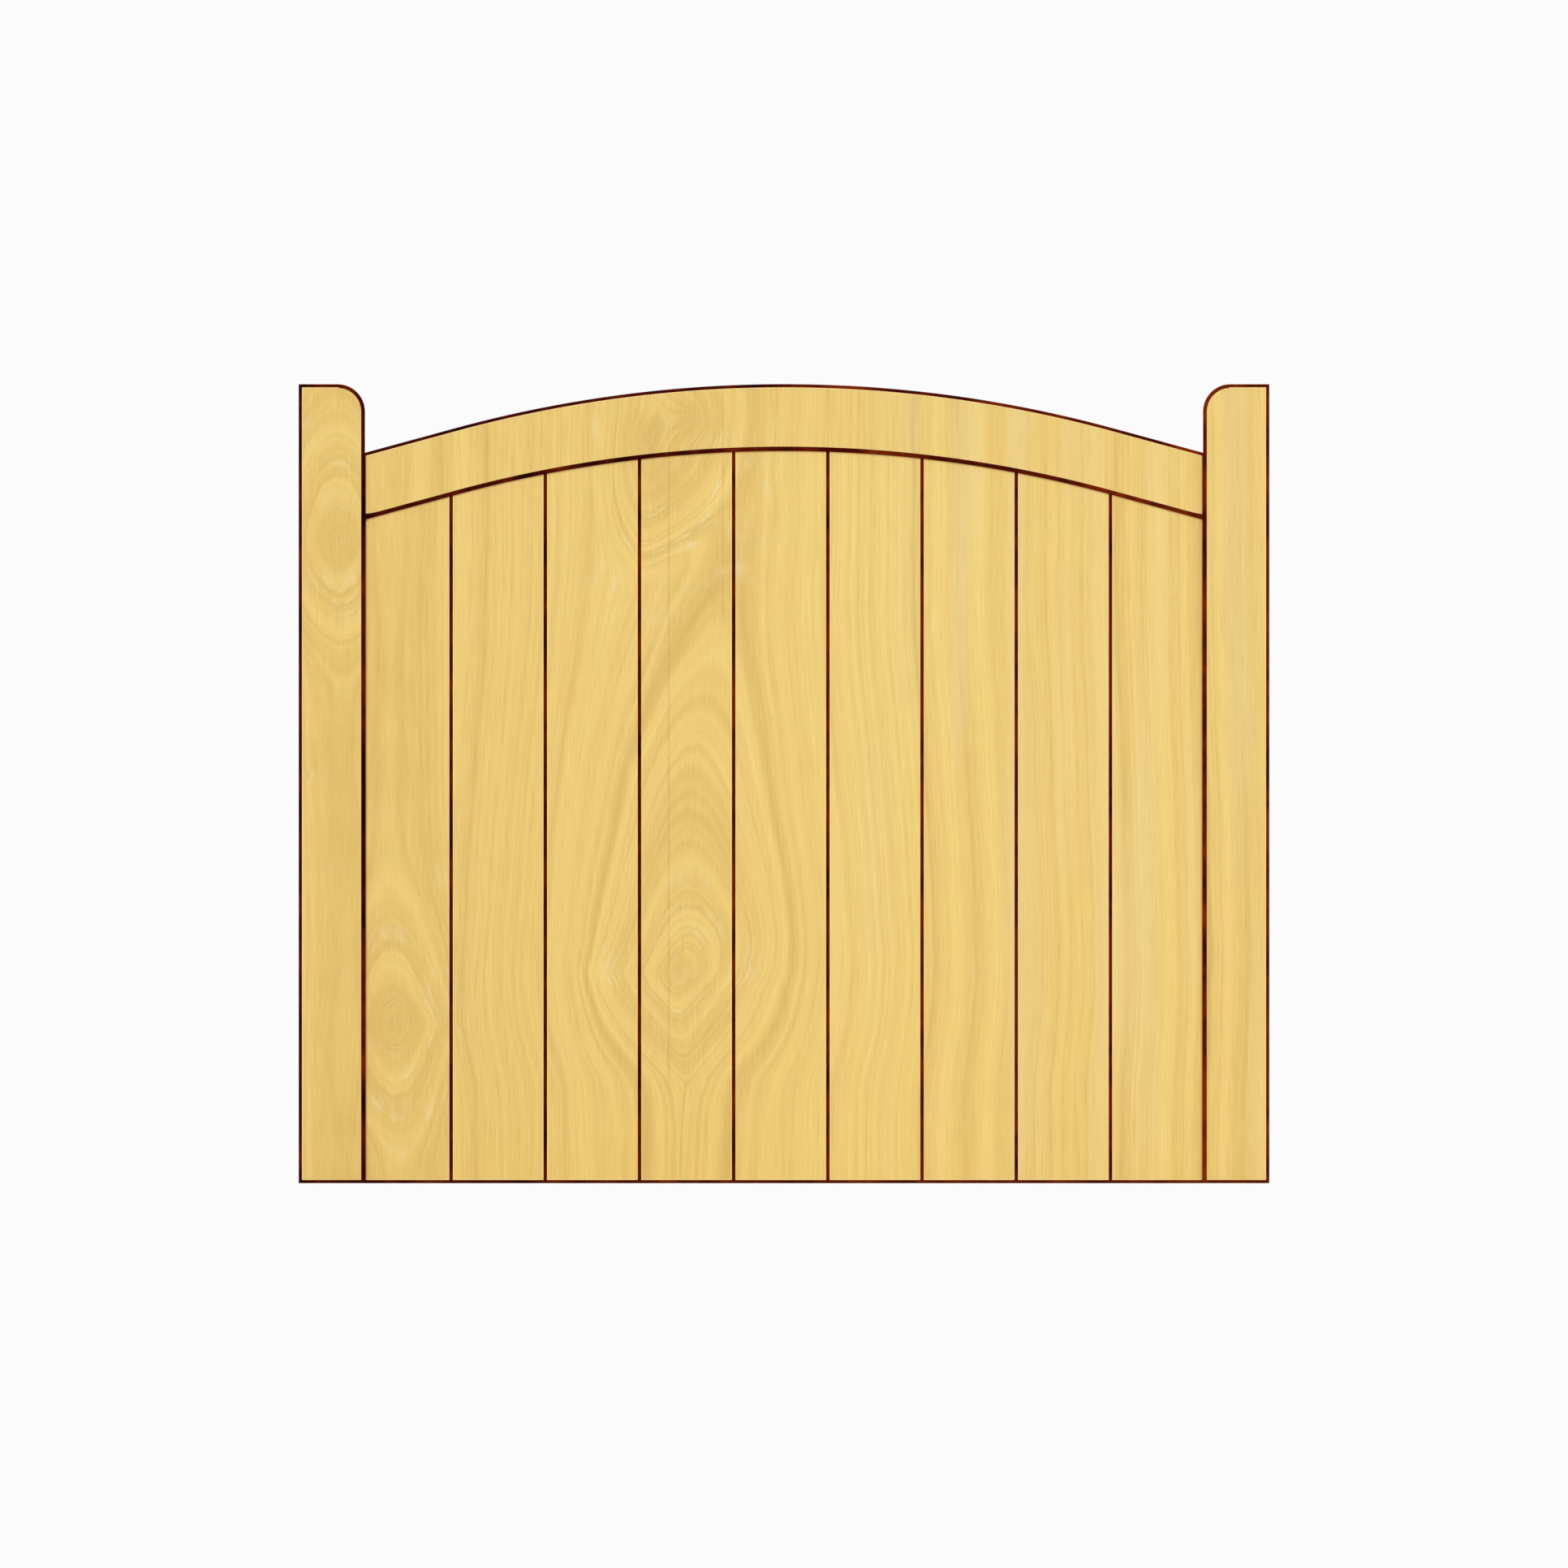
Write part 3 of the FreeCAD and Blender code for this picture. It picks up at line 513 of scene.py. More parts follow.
def planed_pine():
    """Planed and clear-oiled pine. Planing leaves a flat satin face on which the eye reads the growth
    rings: soft light and dark bands, a darker late-wood line at each ring's edge, fine fibres along the
    length, washed-out streaks where the grain swirls, brown hearts in the knots, hairline drying checks
    and stain run into the corners against the frame. A painted highlight makes a paler line beside each
    arris, and a painted shade darkens the face beside the stained corners."""
    material, tree = new_material("planed_pine")
    rings, run, heart, knot, calm, swirl, arris, seam = [
        add(tree, "Attribute", attribute_name=name)["Fac"]
        for name in ("rings", "run", "heart", "knot", "calm", "swirl", "arris", "seam")]
    wood = add(tree, "Attribute", attribute_name="wood")["Vector"]
    split = add(tree, "SeparateXYZ", {0: wood})
    across, along = split["X"], split["Z"]

    # The rings sway along the length, wobble from fibre to fibre and are gnarled in a knot
    gnarled = add(tree, "Math", {0: swirl, 1: SWIRL_GNARL, 2: knot}, operation="MULTIPLY_ADD")
    grown = rings
    for waver, share in ((SWAY, 1.0), (WOBBLE, 1.0), (GNARL, gnarled)):
        pattern = add(tree, "TexNoise", {"Vector": wood, "Detail": 1.0}, cell=waver.cell)
        pattern = add(tree, "Math", {0: pattern, 1: share}, operation="MULTIPLY")
        grown = add(tree, "Math", {0: pattern, 1: waver.reach, 2: grown}, operation="MULTIPLY_ADD")
    along_ring = add(tree, "CombineXYZ", {0: grown, 1: run})

    # Ring edges, uneven in width and strength
    counted = add(tree, "Math", {0: grown, 1: 1 / RING_WIDTH}, operation="MULTIPLY")
    edge = add(tree, "TexVoronoi", {"W": counted, "Scale": 1.0, "Randomness": 0.9},
               voronoi_dimensions="1D", feature="DISTANCE_TO_EDGE")
    late = add(tree, "MapRange", {"Value": edge, "From Max": LATE_WOOD, "To Min": 1.0, "To Max": 0.0},
               interpolation_type="SMOOTHSTEP")
    strength = add(tree, "TexNoise", {"Vector": along_ring, "Detail": 1.0}, cell=RING_PATCH)
    strength = add(tree, "Math", {0: strength, 1: knot}, operation="SUBTRACT", use_clamp=True)
    late = add(tree, "Math", {0: late, 1: strength}, operation="MULTIPLY")

    # Broad bands and ring tones in one fractal over the rings, calmer in a knot, where fine rings show
    bands = add(tree, "TexNoise", {"W": grown, "Scale": 1 / BAND_WIDTH, "Detail": 2.0,
                                   "Roughness": 0.62, "Lacunarity": 2.7}, noise_dimensions="1D")
    tone = add(tree, "Mix", {"Factor": calm, "A": bands, "B": 0.5})
    fine = add(tree, "TexNoise", {"W": grown, "Scale": 1 / KNOT_RING, "Detail": 0.0}, noise_dimensions="1D")
    fine = add(tree, "Math", {0: fine, 1: 0.5}, operation="SUBTRACT")
    fine = add(tree, "Math", {0: fine, 1: knot}, operation="MULTIPLY")
    lines = add(tree, "TexNoise", {"Vector": along_ring, "Detail": 1.0}, cell=LINE)
    fibres = add(tree, "TexNoise", {"Vector": wood, "Detail": 1.5}, cell=FIBRE)
    for pattern, weight in ((late, LATE_WOOD_TONE), (fine, KNOT_RING_TONE), (lines, LINE_TONE),
                            (fibres, FIBRE_TONE), (heart, HEART_TONE), (across, LATCH_TONE)):
        tone = add(tree, "Math", {0: pattern, 1: weight, 2: tone}, operation="MULTIPLY_ADD")

    # Drying checks, each a hairline that bends with the square of its height and fades at its ends
    for check in CHECKS:
        share = add(tree, "MapRange", {"Value": along, "From Min": check.low, "From Max": check.high})
        bent = add(tree, "Math", {0: share, 1: 2.0}, operation="POWER")
        line = add(tree, "Math", {0: bent, 1: check.bend, 2: check.foot}, operation="MULTIPLY_ADD")
        off = add(tree, "Math", {0: across, 1: line}, operation="SUBTRACT")
        off = add(tree, "Math", {0: off}, operation="ABSOLUTE")
        hairline = add(tree, "MapRange", {"Value": off, "From Min": CHECK_CORE, "From Max": CHECK_EDGE,
                                          "To Min": 1.0, "To Max": 0.0})
        ends = add(tree, "ValToRGB", {"Fac": share},
                   stops=((0.0, "#000000"), (0.06, CHECK_DARKNESS), (0.9, CHECK_DARKNESS), (1.0, "#000000")))
        hairline = add(tree, "Math", {0: hairline, 1: ends}, operation="MULTIPLY")
        tone = add(tree, "Math", {0: tone, 1: hairline}, operation="SUBTRACT")
    spread = add(tree, "MapRange", {"Value": tone, "From Min": DARKEST_TONE, "From Max": PALEST_TONE})
    colour = add(tree, "ValToRGB", {"Fac": spread},
                 stops=((0.0, PINE_DEEP), (0.5, PINE_MID), (1.0, PINE_PALE)))

    # Washed-out streaks round the knots, and broader washed-out zones in the boards towards the latch
    streak = add(tree, "TexNoise", {"Vector": along_ring, "Detail": 1.0}, cell=STREAK)
    streak = add(tree, "MapRange", {"Value": streak, "From Min": 0.5, "From Max": 0.75})
    patch = add(tree, "TexNoise", {"Vector": wood, "Detail": 1.0}, cell=STREAK_PATCH)
    patch = add(tree, "MapRange", {"Value": patch, "From Min": 0.4, "From Max": 0.65})
    outside = add(tree, "Math", {0: swirl, 1: knot}, operation="SUBTRACT", use_clamp=True)
    share = add(tree, "Math", {0: outside, 1: STREAK_SHARE, 2: STREAK_LEAST}, operation="MULTIPLY_ADD")
    for spared in (patch, share):
        streak = add(tree, "Math", {0: streak, 1: spared}, operation="MULTIPLY")
    zone = add(tree, "TexNoise", {"Vector": wood, "Detail": 1.0}, cell=WASHED_ZONE)
    zone = add(tree, "MapRange", {"Value": zone, "From Min": 0.45, "From Max": 0.7, "To Max": 0.4})
    side = add(tree, "MapRange", {"Value": across, "From Min": WASHED_FROM, "From Max": WASHED_FULL})
    zone = add(tree, "Math", {0: zone, 1: side}, operation="MULTIPLY")
    washed = add(tree, "Math", {0: streak, 1: zone}, operation="MAXIMUM")
    colour = add(tree, "Mix", {"Factor": washed, "A": colour, "B": linear(PINE_WASHED)}, data_type="RGBA")

    # The painted highlight beside an arris, then the painted shade and the stain in the corners
    # Painted highlight: a paler line on the face just beside each arris
    beside = add(tree, "MapRange", {"Value": arris, "From Min": HIGHLIGHT_FROM, "From Max": HIGHLIGHT_TO})
    arris_highlight = add(tree, "ValToRGB", {"Fac": beside},
                 stops=((0.2, "#000000"), (0.26, "#A0A0A0"), (0.38, "#808080"), (0.5, "#000000")))
    # Painted shade: a brown darkening of the face beside a stained corner, fading out over a few mm, where
    # shade falls
    painted_shade = add(tree, "MapRange", {"Value": seam, "From Min": SEAM_STAIN, "From Max": SEAM_SHADE,
                                  "To Min": 0.5, "To Max": 0.0}, interpolation_type="SMOOTHSTEP")
    soaked = add(tree, "MapRange", {"Value": seam, "From Min": SEAM_STAIN - SEAM_BLUR,
                                    "From Max": SEAM_STAIN + SEAM_BLUR, "To Min": 1.0, "To Max": 0.0})
    for share, over in ((arris_highlight, linear(PINE_HIGHLIGHT)), (painted_shade, linear(CORNER_SHADE)),
                        (soaked, stain_colour(tree, wood))):
        colour = add(tree, "Mix", {"Factor": share, "A": colour, "B": over}, data_type="RGBA")
    gloss = add(tree, "MapRange", {"Value": tone, "To Min": 0.5, "To Max": 0.62})
    bump = add(tree, "Bump", {"Height": tone, "Strength": 0.3, "Distance": 0.2 * MM})
    return surfaced(material, {"Base Color": colour, "Roughness": gloss, "Normal": bump,
                               "Specular IOR Level": 0.15})


def pine_end_grain():
    """Pine sawn across its length. The open fibre ends drink the oil, so the eye sees a darker, duller
    face with curved rings about the pith and open pores."""
    material, tree = new_material("pine_end_grain")
    wood = add(tree, "Attribute", attribute_name="wood")["Vector"]
    split = add(tree, "SeparateXYZ", {0: wood})
    flat = add(tree, "CombineXYZ", {0: split["X"], 1: split["Y"]})
    reach = add(tree, "VectorMath", {0: flat, 1: END_PITH}, operation="DISTANCE")["Value"]
    wobble = add(tree, "TexNoise", {"Vector": flat}, cell=END_WOBBLE.cell)
    grown = add(tree, "Math", {0: wobble, 1: END_WOBBLE.reach, 2: reach}, operation="MULTIPLY_ADD")
    rings = add(tree, "TexNoise", {"W": grown, "Scale": 1 / END_RING, "Detail": 1.0}, noise_dimensions="1D")
    pores = add(tree, "TexNoise", {"Vector": wood, "Detail": 1.0}, cell=END_PORE)
    tone = add(tree, "Math", {0: pores, 1: PORE_TONE, 2: rings}, operation="MULTIPLY_ADD")
    colour = add(tree, "ValToRGB", {"Fac": tone},
                 stops=((0.35, "#A97C40"), (0.7, "#CDA25C"), (0.95, "#DDB970")))
    bump = add(tree, "Bump", {"Height": tone, "Strength": 0.4, "Distance": 0.3 * MM})
    return surfaced(material, {"Base Color": colour, "Normal": bump, "Roughness": 0.75,
                               "Specular IOR Level": 0.1})


def mahogany_stain():
    """Spirit stain brushed into the arrises and vee joints. It soaks in unevenly, so along its length
    the eye sees red-brown where the wood took little and nearly black where it took much."""
    material, tree = new_material("mahogany_stained_arris")
    wood = add(tree, "Attribute", attribute_name="wood")["Vector"]
    return surfaced(material, {"Base Color": stain_colour(tree, wood), "Roughness": 0.7,
                               "Specular IOR Level": 0.02})


pine, end_grain, stain = planed_pine(), pine_end_grain(), mahogany_stain()


# Timber pieces

def timber(node, shape, figure, grain, face_inset, front, thinned=None, seam=None, shade=0.0, calm=0.0):
    """Makes the piece that stands for a timber node, from the points and faces of a skin. The grain
    function gives the wood's across and along places of points, and the inset their distance inside the
    arrises. The stain lift is how much paler the stain on the arrises is painted, a painted light that
    offsets the shade in the boards' vee joints, or none where there is no stain. The seam is the distance
    from a stained corner, the shade a darker tone all over, and calm is how far the bands are calmed. Flat
    front and back faces get a relief: a cosine of the rings, fading out towards the arrises and never
    above the planed face."""
    points, faces, caps = shape
    x, y, z = points.T
    across, along = grain(x, z)
    inset = face_inset(x, z)
    rings = ring_field(figure, across, along, y - front)
    fade = np.clip(inset / RELIEF_FADE, 0, 1)
    relief = RELIEF * fade * (1 + np.cos(2 * math.pi * rings / RELIEF_RING))
    on_front = np.abs(y - front) < WELD
    on_back = np.abs(y - BACK) < WELD
    points[:, 1] += np.where(on_front, relief, 0) - np.where(on_back, relief, 0)

    mesh = bpy.data.meshes.new("planed_" + node)
    mesh.from_pydata((points * MM).tolist(), [], faces)
    shell = bmesh.new()
    shell.from_mesh(mesh)
    bmesh.ops.recalc_face_normals(shell, faces=shell.faces)
    shell.to_mesh(mesh)
    shell.free()
    mesh.shade_smooth()
    mesh.set_sharp_from_angle(angle=math.radians(SMOOTH_ANGLE))
    values = knot_fields(figure, across, along)
    values["heart"] = values["heart"] + shade
    values["calm"] = np.maximum(values["knot"], calm)
    # Painted light: the boards' stain lift makes their stain paler, offsetting the shade in their vee joints
    values["thinned"] = np.full(len(points), thinned or 0.0)
    at_seam = seam(x, z) if seam else NO_SEAM
    values.update(rings=rings, arris=inset, seam=np.where(y < front + ARRIS_SOFT, at_seam, NO_SEAM))
    for name, value in values.items():
        mesh.attributes.new(name, "FLOAT", "POINT").data.foreach_set("value", value.astype(np.float32))
    wood = np.stack([across, y - front, along], 1).astype(np.float32)
    mesh.attributes.new("wood", "FLOAT_VECTOR", "POINT").data.foreach_set("vector", wood.ravel())

    normals, centres = np.empty((2, len(mesh.polygons) * 3))
    mesh.polygons.foreach_get("normal", normals)
    mesh.polygons.foreach_get("center", centres)
    normal_y, normal_z = normals.reshape(-1, 3)[:, 1:].T
    sunk = centres[1::3] / MM > front + FRONT_VEE / 2
    finish = np.full(len(mesh.polygons), PLANED, np.int32)
    if thinned is not None:
        finish[(normal_y < FORWARD) & ((normal_y > FLAT_FORWARD) | sunk)] = STAINED
    if caps:
        finish[-caps:] = SAWN
    else:
        finish[np.abs(normal_z) > UPWARD] = SAWN
    for material in (pine, end_grain, stain):
        mesh.materials.append(material)
    mesh.polygons.foreach_set("material_index", finish)

    piece = bpy.data.objects.new("planed_" + node, mesh)
    bpy.context.scene.collection.objects.link(piece)
    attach(piece, "gate_leaf")
    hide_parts(node)


def overrun(past):
    """The seam value at a distance past an arris on to the face, where the brush ran over: a straight
    line that crosses the edge of the stain at the overrun."""
    return SEAM_STAIN + OVERRUN_SHARPNESS * (past - STAIN_OVERRUN)


def upright_grain(x, z):
    """Grain that runs straight up: across it is X, and along it is Z."""
    return x, z


def board(node, shade, calm):
    """A tongued and grooved board: its section carried straight up, each line of it stretched over the
    upper half to end in the rail's groove under the bow. At the foot the front is cut back at 45 degrees."""
    low, high = cad_span(node)
    left, tip = low[0], high[0]
    right = tip - TONGUE_LENGTH
    root = left + TONGUE_LENGTH + TONGUE_SLACK - BOARD_GAP
    middle = (BOARD_FRONT + BOARD_BACK) / 2
    tongue0, tongue1 = middle - TONGUE_THICKNESS / 2, middle + TONGUE_THICKNESS / 2
    groove0, groove1 = tongue0 - TONGUE_CLEARANCE, tongue1 + TONGUE_CLEARANCE
    corners = [(left, BOARD_FRONT + FRONT_VEE), (left + FRONT_VEE, BOARD_FRONT),
               (right - FRONT_VEE, BOARD_FRONT), (right, BOARD_FRONT + FRONT_VEE),
               (right, tongue0), (tip, tongue0), (tip, tongue1), (right, tongue1),
               (right, BOARD_BACK - BACK_VEE), (right - BACK_VEE, BOARD_BACK),
               (left + BACK_VEE, BOARD_BACK), (left, BOARD_BACK - BACK_VEE),
               (left, groove1), (root, groove1), (root, groove0), (left, groove0)]
    soft = [ARRIS_SOFT] * 4 + [HIDDEN_SOFT] * 4 + [ARRIS_SOFT] * 4 + [HIDDEN_SOFT] * 4
    x, y = divided(softened(corners, soft), FACE_PITCH).T
    top = bow(x) - RAIL_DEPTH + HOUSING_DEPTH
    rows = np.concatenate([[0.0], np.arange(FRONT_ARRIS, top.max(), ROW_PITCH)])
    stretch = np.clip(rows / rows[-1] * 2 - 1, 0, 1)[:, None]
    z = rows[:, None] + stretch * (top - rows[-1])
    y = np.maximum(y, BOARD_FRONT + FRONT_ARRIS - z)
    grid = np.stack(np.broadcast_arrays(x, y, z), -1)

    def face_inset(px, pz):
        """Distance inside the vee joints and the chamfer at the foot."""
        return np.minimum(np.minimum(px - left, right - px) - FRONT_VEE, pz - FRONT_ARRIS)

    def seam(px, pz):
        """Distance from the stiles or from the underside of the rail, whichever is less."""
        return np.minimum(OPENING - np.abs(px), bow(px) - RAIL_DEPTH - pz)

    figure = first_board_figure if node == BOARDS[0] else sheet_figure
    timber(node, skin(grid, capped=True), figure, upright_grain, face_inset, BOARD_FRONT,
           BOARD_STAIN_LIFT, seam, shade, calm)


def stile(node, side):
    """An upright: a profile of front chamfer, edge and back chamfer carried round the outline, which is
    a rectangle with its inner top corner an arc. Past a margin the front and back run on, each point in
    a straight line, to a spine up the middle. The edge is pushed in at the board groove and the mortises."""
    ledge_tenons = [cad_span(ledge) for ledge in LEDGES]
    pockets = [(low[2] + LEDGE_TENON_SHOULDER, high[2] - LEDGE_TENON_SHOULDER) for low, high in ledge_tenons]
    pockets = np.array(pockets + [(SHOULDER + TOP_TENON_LOW, SHOULDER + TOP_TENON_HIGH)])
    pockets += (-WEDGE_THICKNESS, WEDGE_THICKNESS)
    groove_top = SHOULDER + GROOVE_DEPTH
    width, turn, margin = STILE_WIDTH, STILE_TOP_RADIUS, FACE_MARGIN
    turn_a, turn_z = width - turn, HEIGHT - turn

    # Rows up both edges, with two at each end of a pocket and of the groove, where the edge steps
    borders = np.append(pockets.ravel(), groove_top)
    plain = np.linspace(margin + MARGIN_GAP, turn_z, int(turn_z / ROW_PITCH))
    plain = plain[np.abs(plain[:, None] - borders).min(1) > BORDER_GAP]
    rows = np.sort(np.concatenate([plain, borders, borders]))
    in_pocket = np.zeros((len(pockets), len(rows)), bool)
    for flags, (low, high) in zip(in_pocket, pockets):
        flags[np.searchsorted(rows, low) + 1:np.searchsorted(rows, high) + 1] = True
    in_groove = np.arange(len(rows)) <= np.searchsorted(rows, groove_top)

    # Stations round the outline, as the place from the outer edge, the height and the way inwards
    head = np.linspace(margin + MARGIN_GAP, turn_a - TURN_GAP, HEAD_STATIONS)
    foot = np.linspace(width - GROOVE_DEPTH - FOOT_GAP, margin + MARGIN_GAP, FOOT_STATIONS)
    foot = np.append(width - GROOVE_DEPTH, foot)
    angle = np.linspace(math.pi / 2, 0, TURN_STATIONS)[:-1]
    cosine, sine = np.cos(angle), np.sin(angle)
    up, none = np.ones(len(rows)), np.zeros(len(rows))
    stations = np.concatenate([
        [(0, 0, 1, 1)], np.stack([none, rows, up, none], 1), [(0, HEIGHT, 1, -1)],
        np.stack([head, head * 0 + HEIGHT, head * 0, head * 0 - 1], 1),
        np.stack([turn_a + turn * cosine, turn_z + turn * sine, -cosine, -sine], 1),
        np.stack([none + width, rows, -up, none], 1)[::-1], [(width, 0, -1, 1)],
        np.stack([foot, foot * 0, foot * 0, foot * 0 + 1], 1)])
    base_a, base_z, way_a, way_z = stations.T[:, :, None]
    before, after = 1, len(rows) + 2 + len(head) + len(angle)
    groove = np.zeros((len(stations), 1), bool)
    groove[after:after + len(rows), 0] = in_groove[::-1]
    groove[after + len(rows)] = True
    ledge_pocket, top_pocket = np.zeros_like(groove), np.zeros_like(groove)
    ledge_pocket[before:before + len(rows), 0] = in_pocket[:-1].any(0)
    top_pocket[before:before + len(rows), 0] = in_pocket[-1]

    # The profile, as the inset from the outline and the depth, with the edge's steps in order of depth
    top_middle, ledge_middle = (RAIL_FRONT + BACK) / 2, (BOARD_BACK + BACK) / 2
    top_half = TOP_TENON_THICKNESS / 2 + TENON_CLEARANCE
    ledge_half = LEDGE_TENON_THICKNESS / 2 + TENON_CLEARANCE
    steps = [(BOARD_FRONT - HOUSING_CLEARANCE, "groove"), (BOARD_BACK + HOUSING_CLEARANCE, "groove"),
             (top_middle - top_half, "top"), (top_middle + top_half, "top"),
             (ledge_middle - ledge_half, "ledge"), (ledge_middle + ledge_half, "ledge")]
    inside, edge_y, edge_in = set(), [], []
    for y, kind in sorted(steps):
        edge_y.extend([y, y])
        edge_in.append(inside.copy())
        inside.symmetric_difference_update({kind})
        edge_in.append(inside.copy())
    front_part = softened([(margin, STILE_FRONT), (FRONT_ARRIS, STILE_FRONT), (0, STILE_FRONT + FRONT_ARRIS),
                           (0, edge_y[0])], [0, ARRIS_SOFT, ARRIS_SOFT, 0])
    back_part = softened([(0, edge_y[-1]), (0, BACK - BACK_ARRIS), (BACK_ARRIS, BACK), (margin, BACK)],
                         [0, ARRIS_SOFT, ARRIS_SOFT, 0])
    edge_part = np.stack([np.zeros(len(edge_y)), edge_y], 1)
    inset, y = np.concatenate([front_part, edge_part, back_part]).T
    pushed = {kind: np.array([False] * len(front_part) + [kind in flags for flags in edge_in]
                             + [False] * len(back_part)) for kind in ("groove", "top", "ledge")}
    a = base_a + inset * way_a - GROOVE_DEPTH * (groove & pushed["groove"])
    a = a + WEDGE_LENGTH * ((top_pocket & pushed["top"]) | (ledge_pocket & pushed["ledge"]))
    z = base_z + inset * way_z

    # The faces, from the margin in to the spine
    spine_a, spine_z = width / 2, np.clip(base_z, width / 2, HEIGHT - width / 2)
    share = np.linspace(1, 0, int((width / 2 - margin) / FACE_PITCH) + 2)[:-1]
    front_a, front_z = a[:, :1] + share * (spine_a - a[:, :1]), z[:, :1] + share * (spine_z - z[:, :1])
    back_a = a[:, -1:] + share[::-1] * (spine_a - a[:, -1:])
    back_z = z[:, -1:] + share[::-1] * (spine_z - z[:, -1:])
    a, z = np.concatenate([front_a, a, back_a], 1), np.concatenate([front_z, z, back_z], 1)
    y = np.concatenate([share * 0 + STILE_FRONT, y, share * 0 + BACK])
    grid = np.stack(np.broadcast_arrays(side * (EDGE - a), y, z), -1)

    def face_inset(px, pz):
        """Distance inside the chamfer of the nearest straight edge, or of the rounded corner."""
        place = EDGE - side * px
        edge = np.minimum(np.minimum(place, width - place), np.minimum(pz, HEIGHT - pz))
        turned = turn - np.hypot(place - turn_a, pz - turn_z)
        return np.where((place > turn_a) & (pz > turn_z), turned, edge) - FRONT_ARRIS

    def seam(px, pz):
        """The overrun along the inner edge and round its corner, and no seam further out."""
        place = np.maximum(EDGE - side * px - turn_a, 0)
        past = turn - np.hypot(place, np.maximum(pz - turn_z, 0)) - FRONT_ARRIS
        return np.where(place > 0, overrun(past), NO_SEAM)

    figure = hinge_stile_figure if side < 0 else sheet_figure
    timber(node, skin(grid, closed_rows=True), figure, upright_grain, face_inset, STILE_FRONT,
           FRAME_STAIN_LIFT, seam, STILE_SHADES[node])


def tenoned(section_across, section_y, stations, low, high, tenon_y):
    """Across and depth of a section at each station along a rail. At the two stations of each end the
    section is pressed into the tenon's rectangle, which leaves the shoulder between."""
    tenon = np.zeros((len(stations), 1), bool)
    tenon[[0, 1, -2, -1]] = True
    across = np.where(tenon, np.clip(section_across, low, high), section_across)
    depth = np.where(tenon, np.clip(section_y, *tenon_y), section_y)
    return across, depth


def rail_stations(places):
    """Places along a rail from end to end: these between its shoulders, and two more for each tenon."""
    return np.concatenate([[-EDGE, -OPENING], places, [OPENING, EDGE]])


def top_rail(node):
    """The arched rail: its section hung below the bow at each place along it, with the groove for the
    boards in its underside and a tenon at each end."""
    groove = BOARD_FRONT - HOUSING_CLEARANCE, BOARD_BACK + HOUSING_CLEARANCE
    corners = [(FRONT_ARRIS, RAIL_FRONT), (RAIL_DEPTH - FRONT_ARRIS, RAIL_FRONT),
               (RAIL_DEPTH, RAIL_FRONT + FRONT_ARRIS), (RAIL_DEPTH, groove[0]),
               (RAIL_DEPTH - GROOVE_DEPTH, groove[0]), (RAIL_DEPTH - GROOVE_DEPTH, groove[1]),
               (RAIL_DEPTH, groove[1]), (RAIL_DEPTH, BACK - BACK_ARRIS), (RAIL_DEPTH - BACK_ARRIS, BACK),
               (BACK_ARRIS, BACK), (0, BACK - BACK_ARRIS), (0, RAIL_FRONT + FRONT_ARRIS)]
    soft = [ARRIS_SOFT] * 3 + [HIDDEN_SOFT] * 4 + [ARRIS_SOFT] * 5
    drop, y = divided(softened(corners, soft), FACE_PITCH).T
    x = rail_stations(spaced(-OPENING, OPENING, ROW_PITCH))[:, None]
    z = bow(np.clip(x, -OPENING, OPENING)) - drop
    middle = (RAIL_FRONT + BACK) / 2
    half = TOP_TENON_THICKNESS / 2
    z, y = tenoned(z, y, x, SHOULDER + TOP_TENON_LOW, SHOULDER + TOP_TENON_HIGH,
                   (middle - half, middle + half))
    grid = np.stack(np.broadcast_arrays(x, y, z), -1)

    def face_inset(px, pz):
        """Distance inside the chamfers of the upper and lower edge."""
        below = bow(px) - pz
        return np.minimum(below, RAIL_DEPTH - below) - FRONT_ARRIS

    def seam(px, pz):
        """Distance from the stiles, or the overrun of the lower edge, whichever is less."""
        return np.minimum(OPENING - np.abs(px), overrun(pz - bow(px) + RAIL_DEPTH - FRONT_ARRIS))

    timber(node, skin(grid, capped=True), sheet_figure, upright_grain, face_inset, RAIL_FRONT,
           FRAME_STAIN_LIFT, seam, RAIL_SHADE, RAIL_CALM)


def backed_section(half, columns):
    """Section of a ledge or brace: a plain front and edges, and a chamfered back with these columns."""
    rim = softened([(half - BACK_ARRIS - RIM_GAP, BACK), (half - BACK_ARRIS, BACK),
                    (half, BACK - BACK_ARRIS), (half, BACK - BACK_ARRIS - RIM_GAP)],
                   [0, ARRIS_SOFT, ARRIS_SOFT, 0])
    face = np.stack([columns, columns * 0 + BACK], 1)
    front = np.stack([np.linspace(half, -half, FRONT_COLUMNS), np.full(FRONT_COLUMNS, BOARD_BACK)], 1)
    return np.concatenate([face, rim, front, (rim * (-1, 1))[::-1]])


def board_screws():
    """Places along the gate of the two screws in each board, with the side of the board's middle."""
    for node in BOARDS:
        low, high = cad_span(node)
        middle = (low[0] + high[0] - TONGUE_LENGTH) / 2
        for side in (-1, 1):
            yield middle + side * SCREW_STAGGER, side


